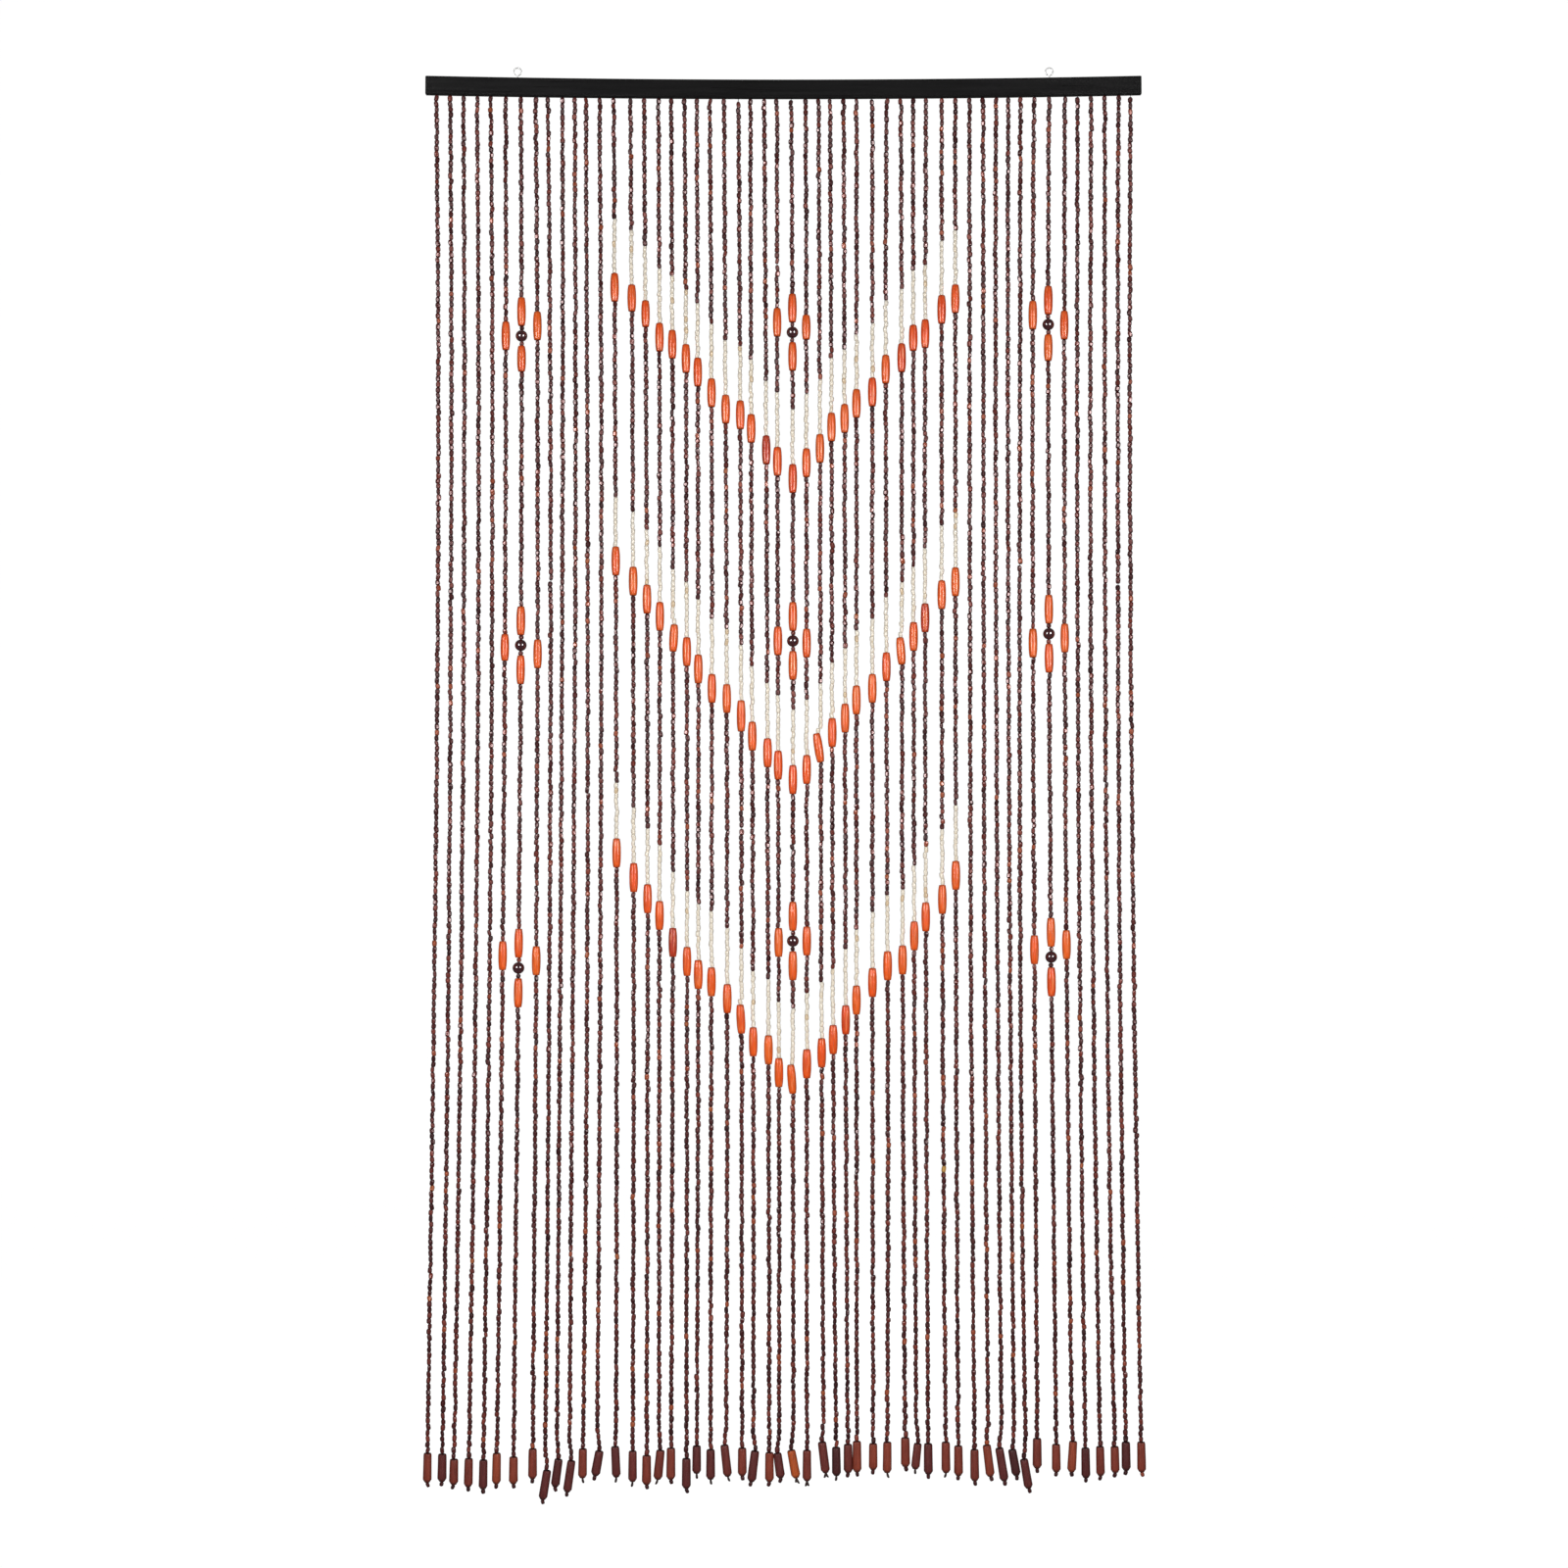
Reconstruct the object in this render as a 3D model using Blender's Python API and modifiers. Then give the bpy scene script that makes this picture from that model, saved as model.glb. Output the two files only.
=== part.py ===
"""Bead curtain: 52 beaded strands on a painted wooden batten with two screw eyes.

Metres, +Z up. The curtain faces -Y, with +X to the right as it is looked at.
The origin is the middle of the batten's flat back face. Every strand hangs in the
middle of the batten's depth, and a drop is a distance straight down from the origin.
The small beads are too many for solids, so each strand is one four-sided solid of the
beads' mean width, which swells where a tube or a round bead is strung on it. The
strands' roots are fused into three closing strips in a groove under the batten.
"""
import math

import bmesh
import bpy
from mathutils import Vector

MM = 0.001

# Clearance between two pieces that touch on the real curtain
GAP = 0.3 * MM

# Batten: a painted strip of wood whose ends stand a little above its middle
BATTEN_LENGTH = 1000 * MM
BATTEN_HEIGHT = 26 * MM
BATTEN_DEPTH = 9 * MM
BATTEN_RISE = 5.5 * MM
BATTEN_EDGE = 1 * MM
BATTEN_STEPS = 20
MID_DEPTH = -BATTEN_DEPTH / 2

# Groove under the batten, and the strips that close it and hold the threads
GROOVE_WIDTH = 4.6 * MM
GROOVE_HEIGHT = 3.3 * MM
GROOVE_END = 6 * MM
STRIP_WIDTH = GROOVE_WIDTH - 2 * GAP
STRIP_HEIGHT = GROOVE_HEIGHT - GAP
ROOT_DEPTH = 1.5 * MM

# Screw eyes of steel wire, face on, standing on the batten's top edge: a ring whose two
# sides run straight down to a point, where the wire's end stays just clear of its neck
EYE_OFFSET = 371.5 * MM
EYE_WIRE = 1.8 * MM
EYE_RING = 10.4 * MM
EYE_CENTRE = 9.2 * MM
EYE_POINT = 2.2 * MM
EYE_SCREW = 9 * MM
EYE_HOLE = EYE_WIRE + 2 * GAP
EYE_RING_STEPS = 18

# Strand sizes: widths are across the corners of the four-sided section
THREAD_WIDTH = 1.2 * MM
BEAD_WIDTH = 6.2 * MM
FIRST_BEAD_GAP = 0.7 * MM
LATE_FIRST_BEAD = {23: 5 * MM, 27: 2.4 * MM, 33: 2 * MM, 48: 2 * MM, 52: 3.5 * MM}
PLAIN_STEP = 170 * MM
FEATURE_CLEAR = 25 * MM

# Orange tubes: a barrel with narrower, rounded ends
TUBE_LENGTH = 40.2 * MM
TUBE_BELLY = 12.2 * MM
TUBE_END = 9 * MM
TUBE_SHOULDER = 9 * MM

# Round dark beads of the clusters, with one small bead and a tube above and below
ROUND_BEAD = 16.4 * MM
CLUSTER_STEP = 34 * MM

# End tubes: straighter, with a short shoulder at the top and a foot that tapers to its
# mouth; a strand bends over a short reach above one that leans
END_TOP = 9.8 * MM
END_SHOULDER = 3 * MM
END_NECK = 11.4 * MM
END_FOOT = 12.2 * MM
END_TAPER = 4.5 * MM
END_MOUTH = 7 * MM
LEAN_REACH = 30 * MM

# Below an end tube: a stopper bead on the thread, or only the thread's bare tail
STOPPER_WIDTH = 5.4 * MM
STOPPER_END = 3.8 * MM
STOPPER_TOP = 0.6 * MM
STOPPER_LENGTH = 5.2 * MM
TAIL_LENGTH = 8 * MM
BARE_TAILS = (12, 14, 15, 17, 20, 21, 22, 27, 28, 29, 30, 34, 36, 38)

# Depths below the origin at which each strand's place across the curtain is given
LEVELS = (12 * MM, 673 * MM, 1509 * MM, 1903 * MM)

# One row a strand, in millimetres: its number from the left, its place across the
# curtain at the four levels, the drop of its end tube's foot, the tube's length, and how
# far its foot swings right of its top
STRANDS = (
    # no, top, upper, lower, foot, drop, tube, lean
    (1, -485, -478, -481, -484, 1923, 40, 0),
    (2, -465, -460, -461, -464, 1922, 38, 0),
    (3, -447, -442, -444, -448, 1926, 35, 0),
    (4, -428, -422, -424, -428, 1929, 39, 0),
    (5, -409, -403, -405, -408, 1932, 40, 0),
    (6, -388, -385, -387, -390, 1925, 42, 0),
    (7, -367, -363, -365, -367, 1925, 37, 0),
    (8, -346, -340, -340, -341, 1918, 41, 0),
    (9, -329, -322, -322, -324, 1946, 40, -6),
    (10, -309, -306, -307, -308, 1929, 38, -5),
    (11, -292, -288, -290, -291, 1936, 43, -6),
    (12, -276, -271, -270, -273, 1917, 40, 0),
    (13, -257, -252, -252, -253, 1914, 34, -6),
    (14, -237, -232, -228, -228, 1916, 42, 2),
    (15, -214, -208, -205, -205, 1922, 42, 0),
    (16, -195, -189, -186, -186, 1926, 40, 0),
    (17, -175, -171, -170, -169, 1919, 40, -4),
    (18, -157, -153, -152, -153, 1919, 43, 0),
    (19, -138, -134, -132, -132, 1931, 41, 0),
    (20, -121, -118, -117, -118, 1911, 38, 0),
    (21, -103, -99, -99, -99, 1919, 41, 0),
    (22, -83, -79, -77, -78, 1915, 43, 5),
    (23, -63, -59, -57, -56, 1914, 38, 0),
    (24, -46, -44, -41, -41, 1922, 42, -5),
    (25, -27, -23, -20, -19, 1922, 40, 0),
    (26, -9, -8, -6, -6, 1917, 34, 5),
    (27, 11, 13, 13, 14, 1917, 38, 7),
    (28, 31, 32, 32, 32, 1921, 42, 0),
    (29, 49, 51, 53, 55, 1910, 42, 5),
    (30, 65, 67, 69, 72, 1914, 39, 0),
    (31, 84, 85, 86, 88, 1910, 39, 0),
    (32, 102, 101, 100, 100, 1909, 42, 0),
    (33, 124, 123, 122, 122, 1906, 36, 0),
    (34, 144, 142, 143, 141, 1910, 42, 0),
    (35, 164, 164, 164, 166, 1902, 40, 0),
    (36, 181, 180, 180, 181, 1905, 35, -4),
    (37, 199, 196, 196, 197, 1912, 42, 0),
    (38, 221, 219, 219, 221, 1910, 42, 0),
    (39, 240, 238, 237, 238, 1914, 41, 0),
    (40, 260, 258, 258, 260, 1921, 43, 0),
    (41, 279, 277, 277, 279, 1915, 43, 5),
    (42, 297, 294, 295, 297, 1921, 45, 7),
    (43, 314, 311, 312, 314, 1914, 36, 6),
    (44, 331, 327, 326, 330, 1931, 40, 6),
    (45, 350, 345, 345, 345, 1904, 41, 0),
    (46, 371, 367, 369, 371, 1909, 38, 0),
    (47, 393, 389, 390, 393, 1909, 42, -3),
    (48, 411, 407, 408, 411, 1917, 41, 0),
    (49, 430, 425, 427, 431, 1914, 40, 0),
    (50, 449, 445, 446, 451, 1910, 36, 0),
    (51, 468, 463, 463, 466, 1907, 39, 0),
    (52, 485, 480, 483, 487, 1909, 41, 0),
)

# The three V rows, in millimetres: the drop of each orange tube's middle on the strand
CHEVRONS = (
    # no, first, second, third
    (14, 280, 663, 1067),
    (15, 295, 691, 1101),
    (16, 317, 716, 1130),
    (17, 350, 740, 1153),
    (18, 360, 770, 1190),
    (19, 380, 789, 1216),
    (20, 399, 813, 1234),
    (21, 428, 840, 1244),
    (22, 451, 854, 1267),
    (23, 459, 878, 1295),
    (24, 478, 906, 1326),
    (25, 508, 929, 1337),
    (26, 524, 946, 1368),
    (27, 548, 966, 1377),
    (28, 526, 952, 1356),
    (29, 506, 922, 1341),
    (30, 476, 901, 1323),
    (31, 464, 881, 1296),
    (32, 443, 856, 1269),
    (33, 427, 840, 1245),
    (34, 395, 810, 1222),
    (35, 379, 788, 1214),
    (36, 351, 768, 1181),
    (37, 345, 742, 1155),
    (38, 311, 710, 1131),
    (39, 296, 692, 1098),
)

# The nine clusters, in millimetres: the middle strand's number, the drop of its round
# bead, and the drops of the single tubes on the strands to its left and right
CLUSTERS = (
    # no, round, left, right
    (7, 348, 348, 334),
    (7, 780, 783, 792),
    (7, 1225, 1208, 1215),
    (27, 343, 329, 336),
    (27, 774, 774, 777),
    (27, 1188, 1190, 1188),
    (46, 332, 319, 333),
    (46, 764, 777, 770),
    (46, 1210, 1200, 1193),
)

# Orange tubes that hang askew: the strand, the tube's drop, and how far its top stands
# to the right of its foot, in millimetres
ASKEW = (
    # no, drop, top
    (18, 770, 2),
    (29, 922, -6),
    (35, 788, -3),
    (27, 1377, -3),
    (23, 1295, -2),
)
ASKEW_REACH = 8 * MM

# Orange tubes of another length than the rest, in millimetres: the strand, the tube's
# drop, to within the reach below, and its length
ODD_TUBES = (
    # no, drop, length
    (6, 783, 37.5),
    (7, 382, 36.5),
    (15, 295, 38),
    (16, 317, 37.5),
    (18, 770, 38),
    (23, 878, 43.5),
    (28, 336, 35),
    (35, 788, 38),
    (36, 351, 36.5),
    (46, 366, 37.5),
)
ODD_REACH = 3 * MM

# Strands by the closing strip that holds them: name, first and last strand
GROUPS = (
    ("strands_left", 1, 13),
    ("strands_middle", 14, 39),
    ("strands_right", 40, 52),
)

BLACK = (0.012, 0.012, 0.014)
STEEL = (0.60, 0.60, 0.58)
BROWN = (0.105, 0.022, 0.018)


def clear_scene():
    """Remove what a new scene holds."""
    for item in list(bpy.data.objects):
        bpy.data.objects.remove(item, do_unlink=True)


def new_collection(name):
    """Make a collection in the scene."""
    group = bpy.data.collections.new(name)
    bpy.context.scene.collection.children.link(group)
    return group


def new_material(name, colour, roughness, metallic):
    """Make a plain Principled material."""
    material = bpy.data.materials.new(name)
    material.use_nodes = True
    shader = material.node_tree.nodes["Principled BSDF"]
    shader.inputs["Base Color"].default_value = (*colour, 1.0)
    shader.inputs["Roughness"].default_value = roughness
    shader.inputs["Metallic"].default_value = metallic
    return material


def rise(x):
    """Height of the batten's line above its middle: a parabola, highest at the ends."""
    return BATTEN_RISE * (2 * x / BATTEN_LENGTH) ** 2


def add_object(name, mesh, group, material=None):
    """Put a mesh in the scene as an object of its own."""
    item = bpy.data.objects.new(name, mesh)
    if material is not None:
        item.data.materials.append(material)
    group.objects.link(item)
    return item


def mark_cutter(item):
    """Show a cutter as wires only, and leave it out of renders."""
    item.display_type = "WIRE"
    item.hide_render = True


def bowed_bar(name, group, x_range, y_range, z_range, steps, material=None):
    """A bar from a cube, sliced along X and lifted to the batten's bow."""
    size = Vector((x_range[1] - x_range[0], y_range[1] - y_range[0], z_range[1] - z_range[0]))
    centre = Vector((sum(x_range), sum(y_range), sum(z_range))) / 2
    shape = bmesh.new()
    bmesh.ops.create_cube(shape, size=1.0)
    bmesh.ops.scale(shape, vec=size, verts=shape.verts)
    bmesh.ops.translate(shape, vec=centre, verts=shape.verts)
    for step in range(1, steps):
        cut = Vector((x_range[0] + size.x * step / steps, 0, 0))
        bmesh.ops.bisect_plane(
            shape,
            geom=shape.verts[:] + shape.edges[:] + shape.faces[:],
            plane_co=cut,
            plane_no=(1, 0, 0),
        )
    for vert in shape.verts:
        vert.co.z += rise(vert.co.x)
    mesh = bpy.data.meshes.new(name)
    shape.to_mesh(mesh)
    shape.free()
    return add_object(name, mesh, group, material)


def add_boolean(item, cutter, operation):
    """Give a piece an exact Boolean with another."""
    modifier = item.modifiers.new(operation.title(), "BOOLEAN")
    modifier.operation = operation
    modifier.solver = "EXACT"
    modifier.object = cutter


def eye_hole(name, x, cutters):
    """Cutter for the hole in the batten's top edge that an eye's screw sits in."""
    top = BATTEN_HEIGHT / 2 + rise(x)
    depth = EYE_SCREW + GAP
    shape = bmesh.new()
    bmesh.ops.create_cone(
        shape,
        cap_ends=True,
        segments=12,
        radius1=EYE_HOLE / 2,
        radius2=EYE_HOLE / 2,
        depth=2 * depth,
    )
    mesh = bpy.data.meshes.new(name)
    shape.to_mesh(mesh)
    shape.free()
    cutter = add_object(name, mesh, cutters)
    cutter.location = (x, MID_DEPTH, top)
    mark_cutter(cutter)
    return cutter


def build_batten(parts, cutters, material):
    """Batten with eased edges, the groove under it and the two screw holes."""
    half = BATTEN_LENGTH / 2
    batten = bowed_bar(
        "batten",
        parts,
        (-half, half),
        (-BATTEN_DEPTH, 0),
        (-BATTEN_HEIGHT / 2, BATTEN_HEIGHT / 2),
        BATTEN_STEPS,
        material,
    )
    edges = batten.modifiers.new("Eased edges", "BEVEL")
    edges.width = BATTEN_EDGE
    edges.segments = 1
    edges.limit_method = "ANGLE"
    edges.angle_limit = math.radians(40)
    groove = bowed_bar(
        "groove_cutter",
        cutters,
        (GROOVE_END - half, half - GROOVE_END),
        (MID_DEPTH - GROOVE_WIDTH / 2, MID_DEPTH + GROOVE_WIDTH / 2),
        (-BATTEN_HEIGHT, GROOVE_HEIGHT - BATTEN_HEIGHT / 2),
        BATTEN_STEPS,
    )
    mark_cutter(groove)
    add_boolean(batten, groove, "DIFFERENCE")
    for side, x in (("left", -EYE_OFFSET), ("right", EYE_OFFSET)):
        add_boolean(batten, eye_hole("hole_cutter_" + side, x, cutters), "DIFFERENCE")


def add_spline(curve, points, widths):
    """Add a straight-sided spline whose width is given at each point."""
    spline = curve.splines.new("POLY")
    spline.points.add(len(points) - 1)
    for slot, point, width in zip(spline.points, points, widths):
        slot.co = (*point, 1.0)
        slot.radius = width / 2


def new_curve(name, resolution):
    """A 3D curve with a round bevel of unit radius and closed ends."""
    curve = bpy.data.curves.new(name, "CURVE")
    curve.dimensions = "3D"
    curve.bevel_depth = 1.0
    curve.bevel_resolution = resolution
    curve.use_fill_caps = True
    return curve


def build_eye(name, x, parts, material):
    """Screw eye: a wire goes up from its hole and once round to just short of itself.

    Each straight side leaves the point at the slant at which it meets the ring's circle
    as a tangent.
    """
    foot = BATTEN_HEIGHT / 2 + rise(x)
    radius = EYE_RING / 2
    centre = foot + EYE_CENTRE
    slant = math.asin(radius / (EYE_CENTRE - EYE_POINT))
    points = [(0, foot - EYE_SCREW), (0, foot), (0, foot + EYE_POINT)]
    for step in range(EYE_RING_STEPS + 1):
        angle = (math.pi + 2 * slant) * step / EYE_RING_STEPS - slant
        points.append((radius * math.cos(angle), centre + radius * math.sin(angle)))
    points.append((-EYE_WIRE, foot + EYE_POINT + EYE_WIRE / math.tan(slant)))
    curve = new_curve(name, 2)
    line = [(x + across, MID_DEPTH, height) for across, height in points]
    add_spline(curve, line, [EYE_WIRE] * len(line))
    curve.materials.append(material)
    parts.objects.link(bpy.data.objects.new(name, curve))


def place_across(row, drop):
    """A strand's X at a drop: the cubic through its places at the four levels."""
    places = row[1:5]
    total = 0.0
    for i, level in enumerate(LEVELS):
        weight = 1.0
        for j, other in enumerate(LEVELS):
            if j != i:
                weight *= (drop - other) / (level - other)
        total += places[i] * MM * weight
    return total


def tube_length(number, drop):
    """Length of the orange tube at a drop on a strand."""
    for strand, middle, length in ODD_TUBES:
        if strand == number and abs(middle * MM - drop) < ODD_REACH:
            return length * MM
    return TUBE_LENGTH


def tube_profile(number, drop):
    """Stations of an orange tube round its middle: drop and width."""
    half = tube_length(number, drop) / 2
    return [
        (drop - half - GAP, BEAD_WIDTH),
        (drop - half, TUBE_END),
        (drop - half + TUBE_SHOULDER, TUBE_BELLY),
        (drop + half - TUBE_SHOULDER, TUBE_BELLY),
        (drop + half, TUBE_END),
        (drop + half + GAP, BEAD_WIDTH),
    ]


def round_profile(drop):
    """Stations of a round bead: where its sphere meets the strand, and round it."""
    radius = ROUND_BEAD / 2
    reach = math.sqrt(radius**2 - (BEAD_WIDTH / 2) ** 2)
    slant = radius * math.sin(math.radians(45))
    return [
        (drop - reach, BEAD_WIDTH),
        (drop - slant, 2 * slant),
        (drop, ROUND_BEAD),
        (drop + slant, 2 * slant),
        (drop + reach, BEAD_WIDTH),
    ]


def end_profile(number, top, foot_drop):
    """Stations of an end tube, then of the stopper bead and the tail below it."""
    stations = [
        (top - GAP, BEAD_WIDTH),
        (top, END_TOP),
        (top + END_SHOULDER, END_NECK),
        (foot_drop - END_TAPER, END_FOOT),
        (foot_drop, END_MOUTH),
        (foot_drop + GAP, THREAD_WIDTH),
        (foot_drop + TAIL_LENGTH, THREAD_WIDTH),
    ]
    if number not in BARE_TAILS:
        stopper = foot_drop + STOPPER_TOP
        stations += [
            (stopper, STOPPER_END),
            (stopper + STOPPER_LENGTH / 2, STOPPER_WIDTH),
            (stopper + STOPPER_LENGTH, STOPPER_END),
            (stopper + STOPPER_LENGTH + GAP, THREAD_WIDTH),
        ]
    return stations


def cluster_tube(number, ball, side):
    """Drop of the tube above (-1) or below (1) a round bead; a short one stays close."""
    drop = ball + side * CLUSTER_STEP
    return drop - side * (TUBE_LENGTH - tube_length(number, drop)) / 2


def feature_drops(number):
    """Drops of the tubes and of the round beads on a strand."""
    tubes = []
    rounds = []
    for row in CHEVRONS:
        if row[0] == number:
            tubes += [drop * MM for drop in row[1:]]
    for middle, ball, left, right in CLUSTERS:
        if number == middle:
            tubes += [cluster_tube(number, ball * MM, side) for side in (-1, 1)]
            rounds.append(ball * MM)
        elif number == middle - 1:
            tubes.append(left * MM)
        elif number == middle + 1:
            tubes.append(right * MM)
    return tubes, rounds


def strand_profile(row):
    """All stations of a strand from its root to its tail: drop and width."""
    number, foot_drop = row[0], row[5] * MM
    end_top = foot_drop - row[6] * MM
    root = BATTEN_HEIGHT / 2 - rise(row[1] * MM)
    first = root + LATE_FIRST_BEAD.get(number, FIRST_BEAD_GAP)
    tubes, rounds = feature_drops(number)
    stations = [
        (root - ROOT_DEPTH, THREAD_WIDTH),
        (first, THREAD_WIDTH),
        (first + GAP, BEAD_WIDTH),
    ]
    for drop in tubes:
        stations += tube_profile(number, drop)
    for drop in rounds:
        stations += round_profile(drop)
    taken = [first, end_top] + tubes + rounds
    drop = first + PLAIN_STEP
    while drop < end_top - FEATURE_CLEAR:
        if min(abs(drop - other) for other in taken) > FEATURE_CLEAR:
            stations.append((drop, BEAD_WIDTH))
        drop += PLAIN_STEP
    for strand, middle, _ in ASKEW:
        if strand == number:
            stations.append((middle * MM - TUBE_LENGTH / 2 - ASKEW_REACH, BEAD_WIDTH))
    if row[7]:
        stations.append((end_top - LEAN_REACH, BEAD_WIDTH))
    stations += end_profile(number, end_top, foot_drop)
    return sorted(stations)


def askew_shift(number, drop):
    """Sideways shift of an askew tube: none at its foot, most at its top, then fading."""
    for strand, middle, top_shift in ASKEW:
        top = middle * MM - TUBE_LENGTH / 2
        if strand == number and top - ASKEW_REACH < drop < top + TUBE_LENGTH:
            if drop < top:
                return top_shift * MM * (1 - (top - drop) / ASKEW_REACH)
            return top_shift * MM * (1 - (drop - top) / TUBE_LENGTH)
    return 0.0


def end_lean(row, drop):
    """Sideways shift at a leaning end tube: it swings about its own middle."""
    length, lean = row[6] * MM, row[7] * MM
    below_top = drop - (row[5] * MM - length)
    if below_top < 0:
        return -lean / 2 * max(0.0, 1 + below_top / LEAN_REACH)
    return lean * (below_top / length - 0.5)


def strand_line(row, stations):
    """Points of a strand: it follows its places across, and its foot may lean."""
    points = []
    for drop, _ in stations:
        across = place_across(row, drop) + askew_shift(row[0], drop) + end_lean(row, drop)
        points.append((across, MID_DEPTH, -drop))
    return points


def build_strands(name, first, last, parts, cutters, material):
    """One closing strip with its strands: the strands' roots are fused into it."""
    rows = [row for row in STRANDS if first <= row[0] <= last]
    curve = new_curve(name + "_lines", 0)
    for row in rows:
        stations = strand_profile(row)
        add_spline(curve, strand_line(row, stations), [width for _, width in stations])
    holder = bpy.data.objects.new(name + "_lines", curve)
    cutters.objects.link(holder)
    bpy.context.view_layer.update()
    evaluated = holder.evaluated_get(bpy.context.evaluated_depsgraph_get())
    mesh = bpy.data.meshes.new_from_object(evaluated)
    shape = bmesh.new()
    shape.from_mesh(mesh)
    bmesh.ops.remove_doubles(shape, verts=shape.verts, dist=0.00001)
    shape.to_mesh(mesh)
    shape.free()
    lines = add_object(name + "_solid", mesh, cutters)
    lines.matrix_world = holder.matrix_world
    bpy.data.objects.remove(holder, do_unlink=True)
    mark_cutter(lines)
    strip = bowed_bar(
        name,
        parts,
        strip_range(first, last),
        (MID_DEPTH - STRIP_WIDTH / 2, MID_DEPTH + STRIP_WIDTH / 2),
        (-BATTEN_HEIGHT / 2, STRIP_HEIGHT - BATTEN_HEIGHT / 2),
        BATTEN_STEPS // 2,
        material,
    )
    add_boolean(strip, lines, "UNION")


def strip_range(first, last):
    """A closing strip's two ends: half way to the next strand, or at the groove's end."""
    tops = {row[0]: row[1] * MM for row in STRANDS}
    low = GROOVE_END - BATTEN_LENGTH / 2 + GAP
    high = -low
    if first - 1 in tops:
        low = (tops[first - 1] + tops[first]) / 2 + GAP / 2
    if last + 1 in tops:
        high = (tops[last] + tops[last + 1]) / 2 - GAP / 2
    return low, high


def main():
    clear_scene()
    parts = new_collection("bead_curtain")
    cutters = new_collection("bead_curtain_cutters")
    build_batten(parts, cutters, new_material("black_paint", BLACK, 0.45, 0.0))
    steel = new_material("steel_wire", STEEL, 0.3, 1.0)
    build_eye("eye_left", -EYE_OFFSET, parts, steel)
    build_eye("eye_right", EYE_OFFSET, parts, steel)
    beads = new_material("beads", BROWN, 0.3, 0.0)
    for name, first, last in GROUPS:
        build_strands(name, first, last, parts, cutters, beads)


main()
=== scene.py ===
"""Bead curtain: strings of small turned beads, long orange tubes and round beads.

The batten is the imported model's own node. Everything that hangs from it, and the two
screw eyes, are surfaces worked out here from the same named sizes and tables as the
part's source. Metres, +Z up, the curtain faces -Y, and a drop is a distance straight
down from the middle of the batten's back.
"""
import math

import bpy
import numpy as np
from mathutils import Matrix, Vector


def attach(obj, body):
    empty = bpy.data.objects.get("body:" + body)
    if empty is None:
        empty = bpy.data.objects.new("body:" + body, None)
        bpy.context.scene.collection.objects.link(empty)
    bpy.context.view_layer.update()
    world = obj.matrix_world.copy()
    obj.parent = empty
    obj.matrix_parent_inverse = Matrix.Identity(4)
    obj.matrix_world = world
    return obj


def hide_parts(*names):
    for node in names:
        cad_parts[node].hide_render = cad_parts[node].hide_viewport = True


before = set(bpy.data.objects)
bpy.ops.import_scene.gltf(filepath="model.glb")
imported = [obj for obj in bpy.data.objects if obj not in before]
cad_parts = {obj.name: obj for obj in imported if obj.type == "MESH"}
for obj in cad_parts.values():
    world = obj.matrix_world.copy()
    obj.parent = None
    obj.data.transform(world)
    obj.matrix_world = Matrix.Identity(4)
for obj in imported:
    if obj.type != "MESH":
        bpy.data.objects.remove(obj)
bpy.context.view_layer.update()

MM = 0.001
RANDOM = np.random.default_rng(52)

# Batten, groove and closing strips
BATTEN_LENGTH = 1000 * MM
BATTEN_HEIGHT = 26 * MM
BATTEN_DEPTH = 9 * MM
BATTEN_RISE = 5.5 * MM
MID_DEPTH = -BATTEN_DEPTH / 2
GAP = 0.3 * MM
GROOVE_END = 6 * MM
STRIP_WIDTH = 4.0 * MM
STRIP_HEIGHT = 3.0 * MM
STRIP_EDGE = 0.4 * MM
STRIP_SECTIONS = 25

# Screw eyes of plated wire: a ring whose two sides run straight down to a point
EYE_OFFSET = 371.5 * MM
EYE_WIRE = 1.8 * MM
EYE_RING = 10.4 * MM
EYE_CENTRE = 9.2 * MM
EYE_POINT = 2.2 * MM
EYE_SCREW = 9 * MM
EYE_PULL = 3.2 * MM
SCREW_PITCH = 1.0 * MM
SCREW_TIP = 3 * MM
SCREW_RINGS = 73
NECK_RINGS = 3
WIRE_SIDES = 16

# Small beads
DARK_PITCH = 7.85 * MM
DARK_WIDTH = 6.5 * MM
CREAM_PITCH = 7.65 * MM
CREAM_WIDTH = 5.8 * MM
CREAM_RUN = 10
FIRST_BEAD_GAP = 0.7 * MM
LATE_FIRST_BEAD = {23: 5 * MM, 27: 2.4 * MM, 33: 2 * MM, 48: 2 * MM, 52: 3.5 * MM}
THREAD_WIDTH = 0.9 * MM
THREAD_SIDES = 6
THREAD_RINGS = 60
TAIL_WIDTH = 3.2 * MM
TAIL_TAPER = np.array([0.7, 1.05, 1.1, 1.0, 0.9, 0.85, 0.9, 0.9])

# A small bead's profile from foot to head: places as shares of its length, half widths as
# shares of its own, how near each ring is to an end, and how far its ends reach into the
# next beads
BEAD_SIDES = 7
BEAD_OVERLAP = 1.05
BEAD_WOBBLE = 0.045
BEAD_ALONG = np.array([0.0, 0.20, 0.64, 0.85, 1.0])
DARK_SHARES = np.array([0.56, 0.93, 1.0, 0.85, 0.56])
CREAM_SHARES = np.array([0.70, 0.95, 1.0, 0.91, 0.70])
# BEAD_ENDS sets how strongly the painted shade at each bead's ends shows.
BEAD_ENDS = np.array([1.0, 0.4, 0.0, 0.4, 1.0])[None, :, None]

# Shares of the dark beads that are polished, and that came out lighter
POLISHED = 0.55
LIGHTER = 0.035

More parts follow.
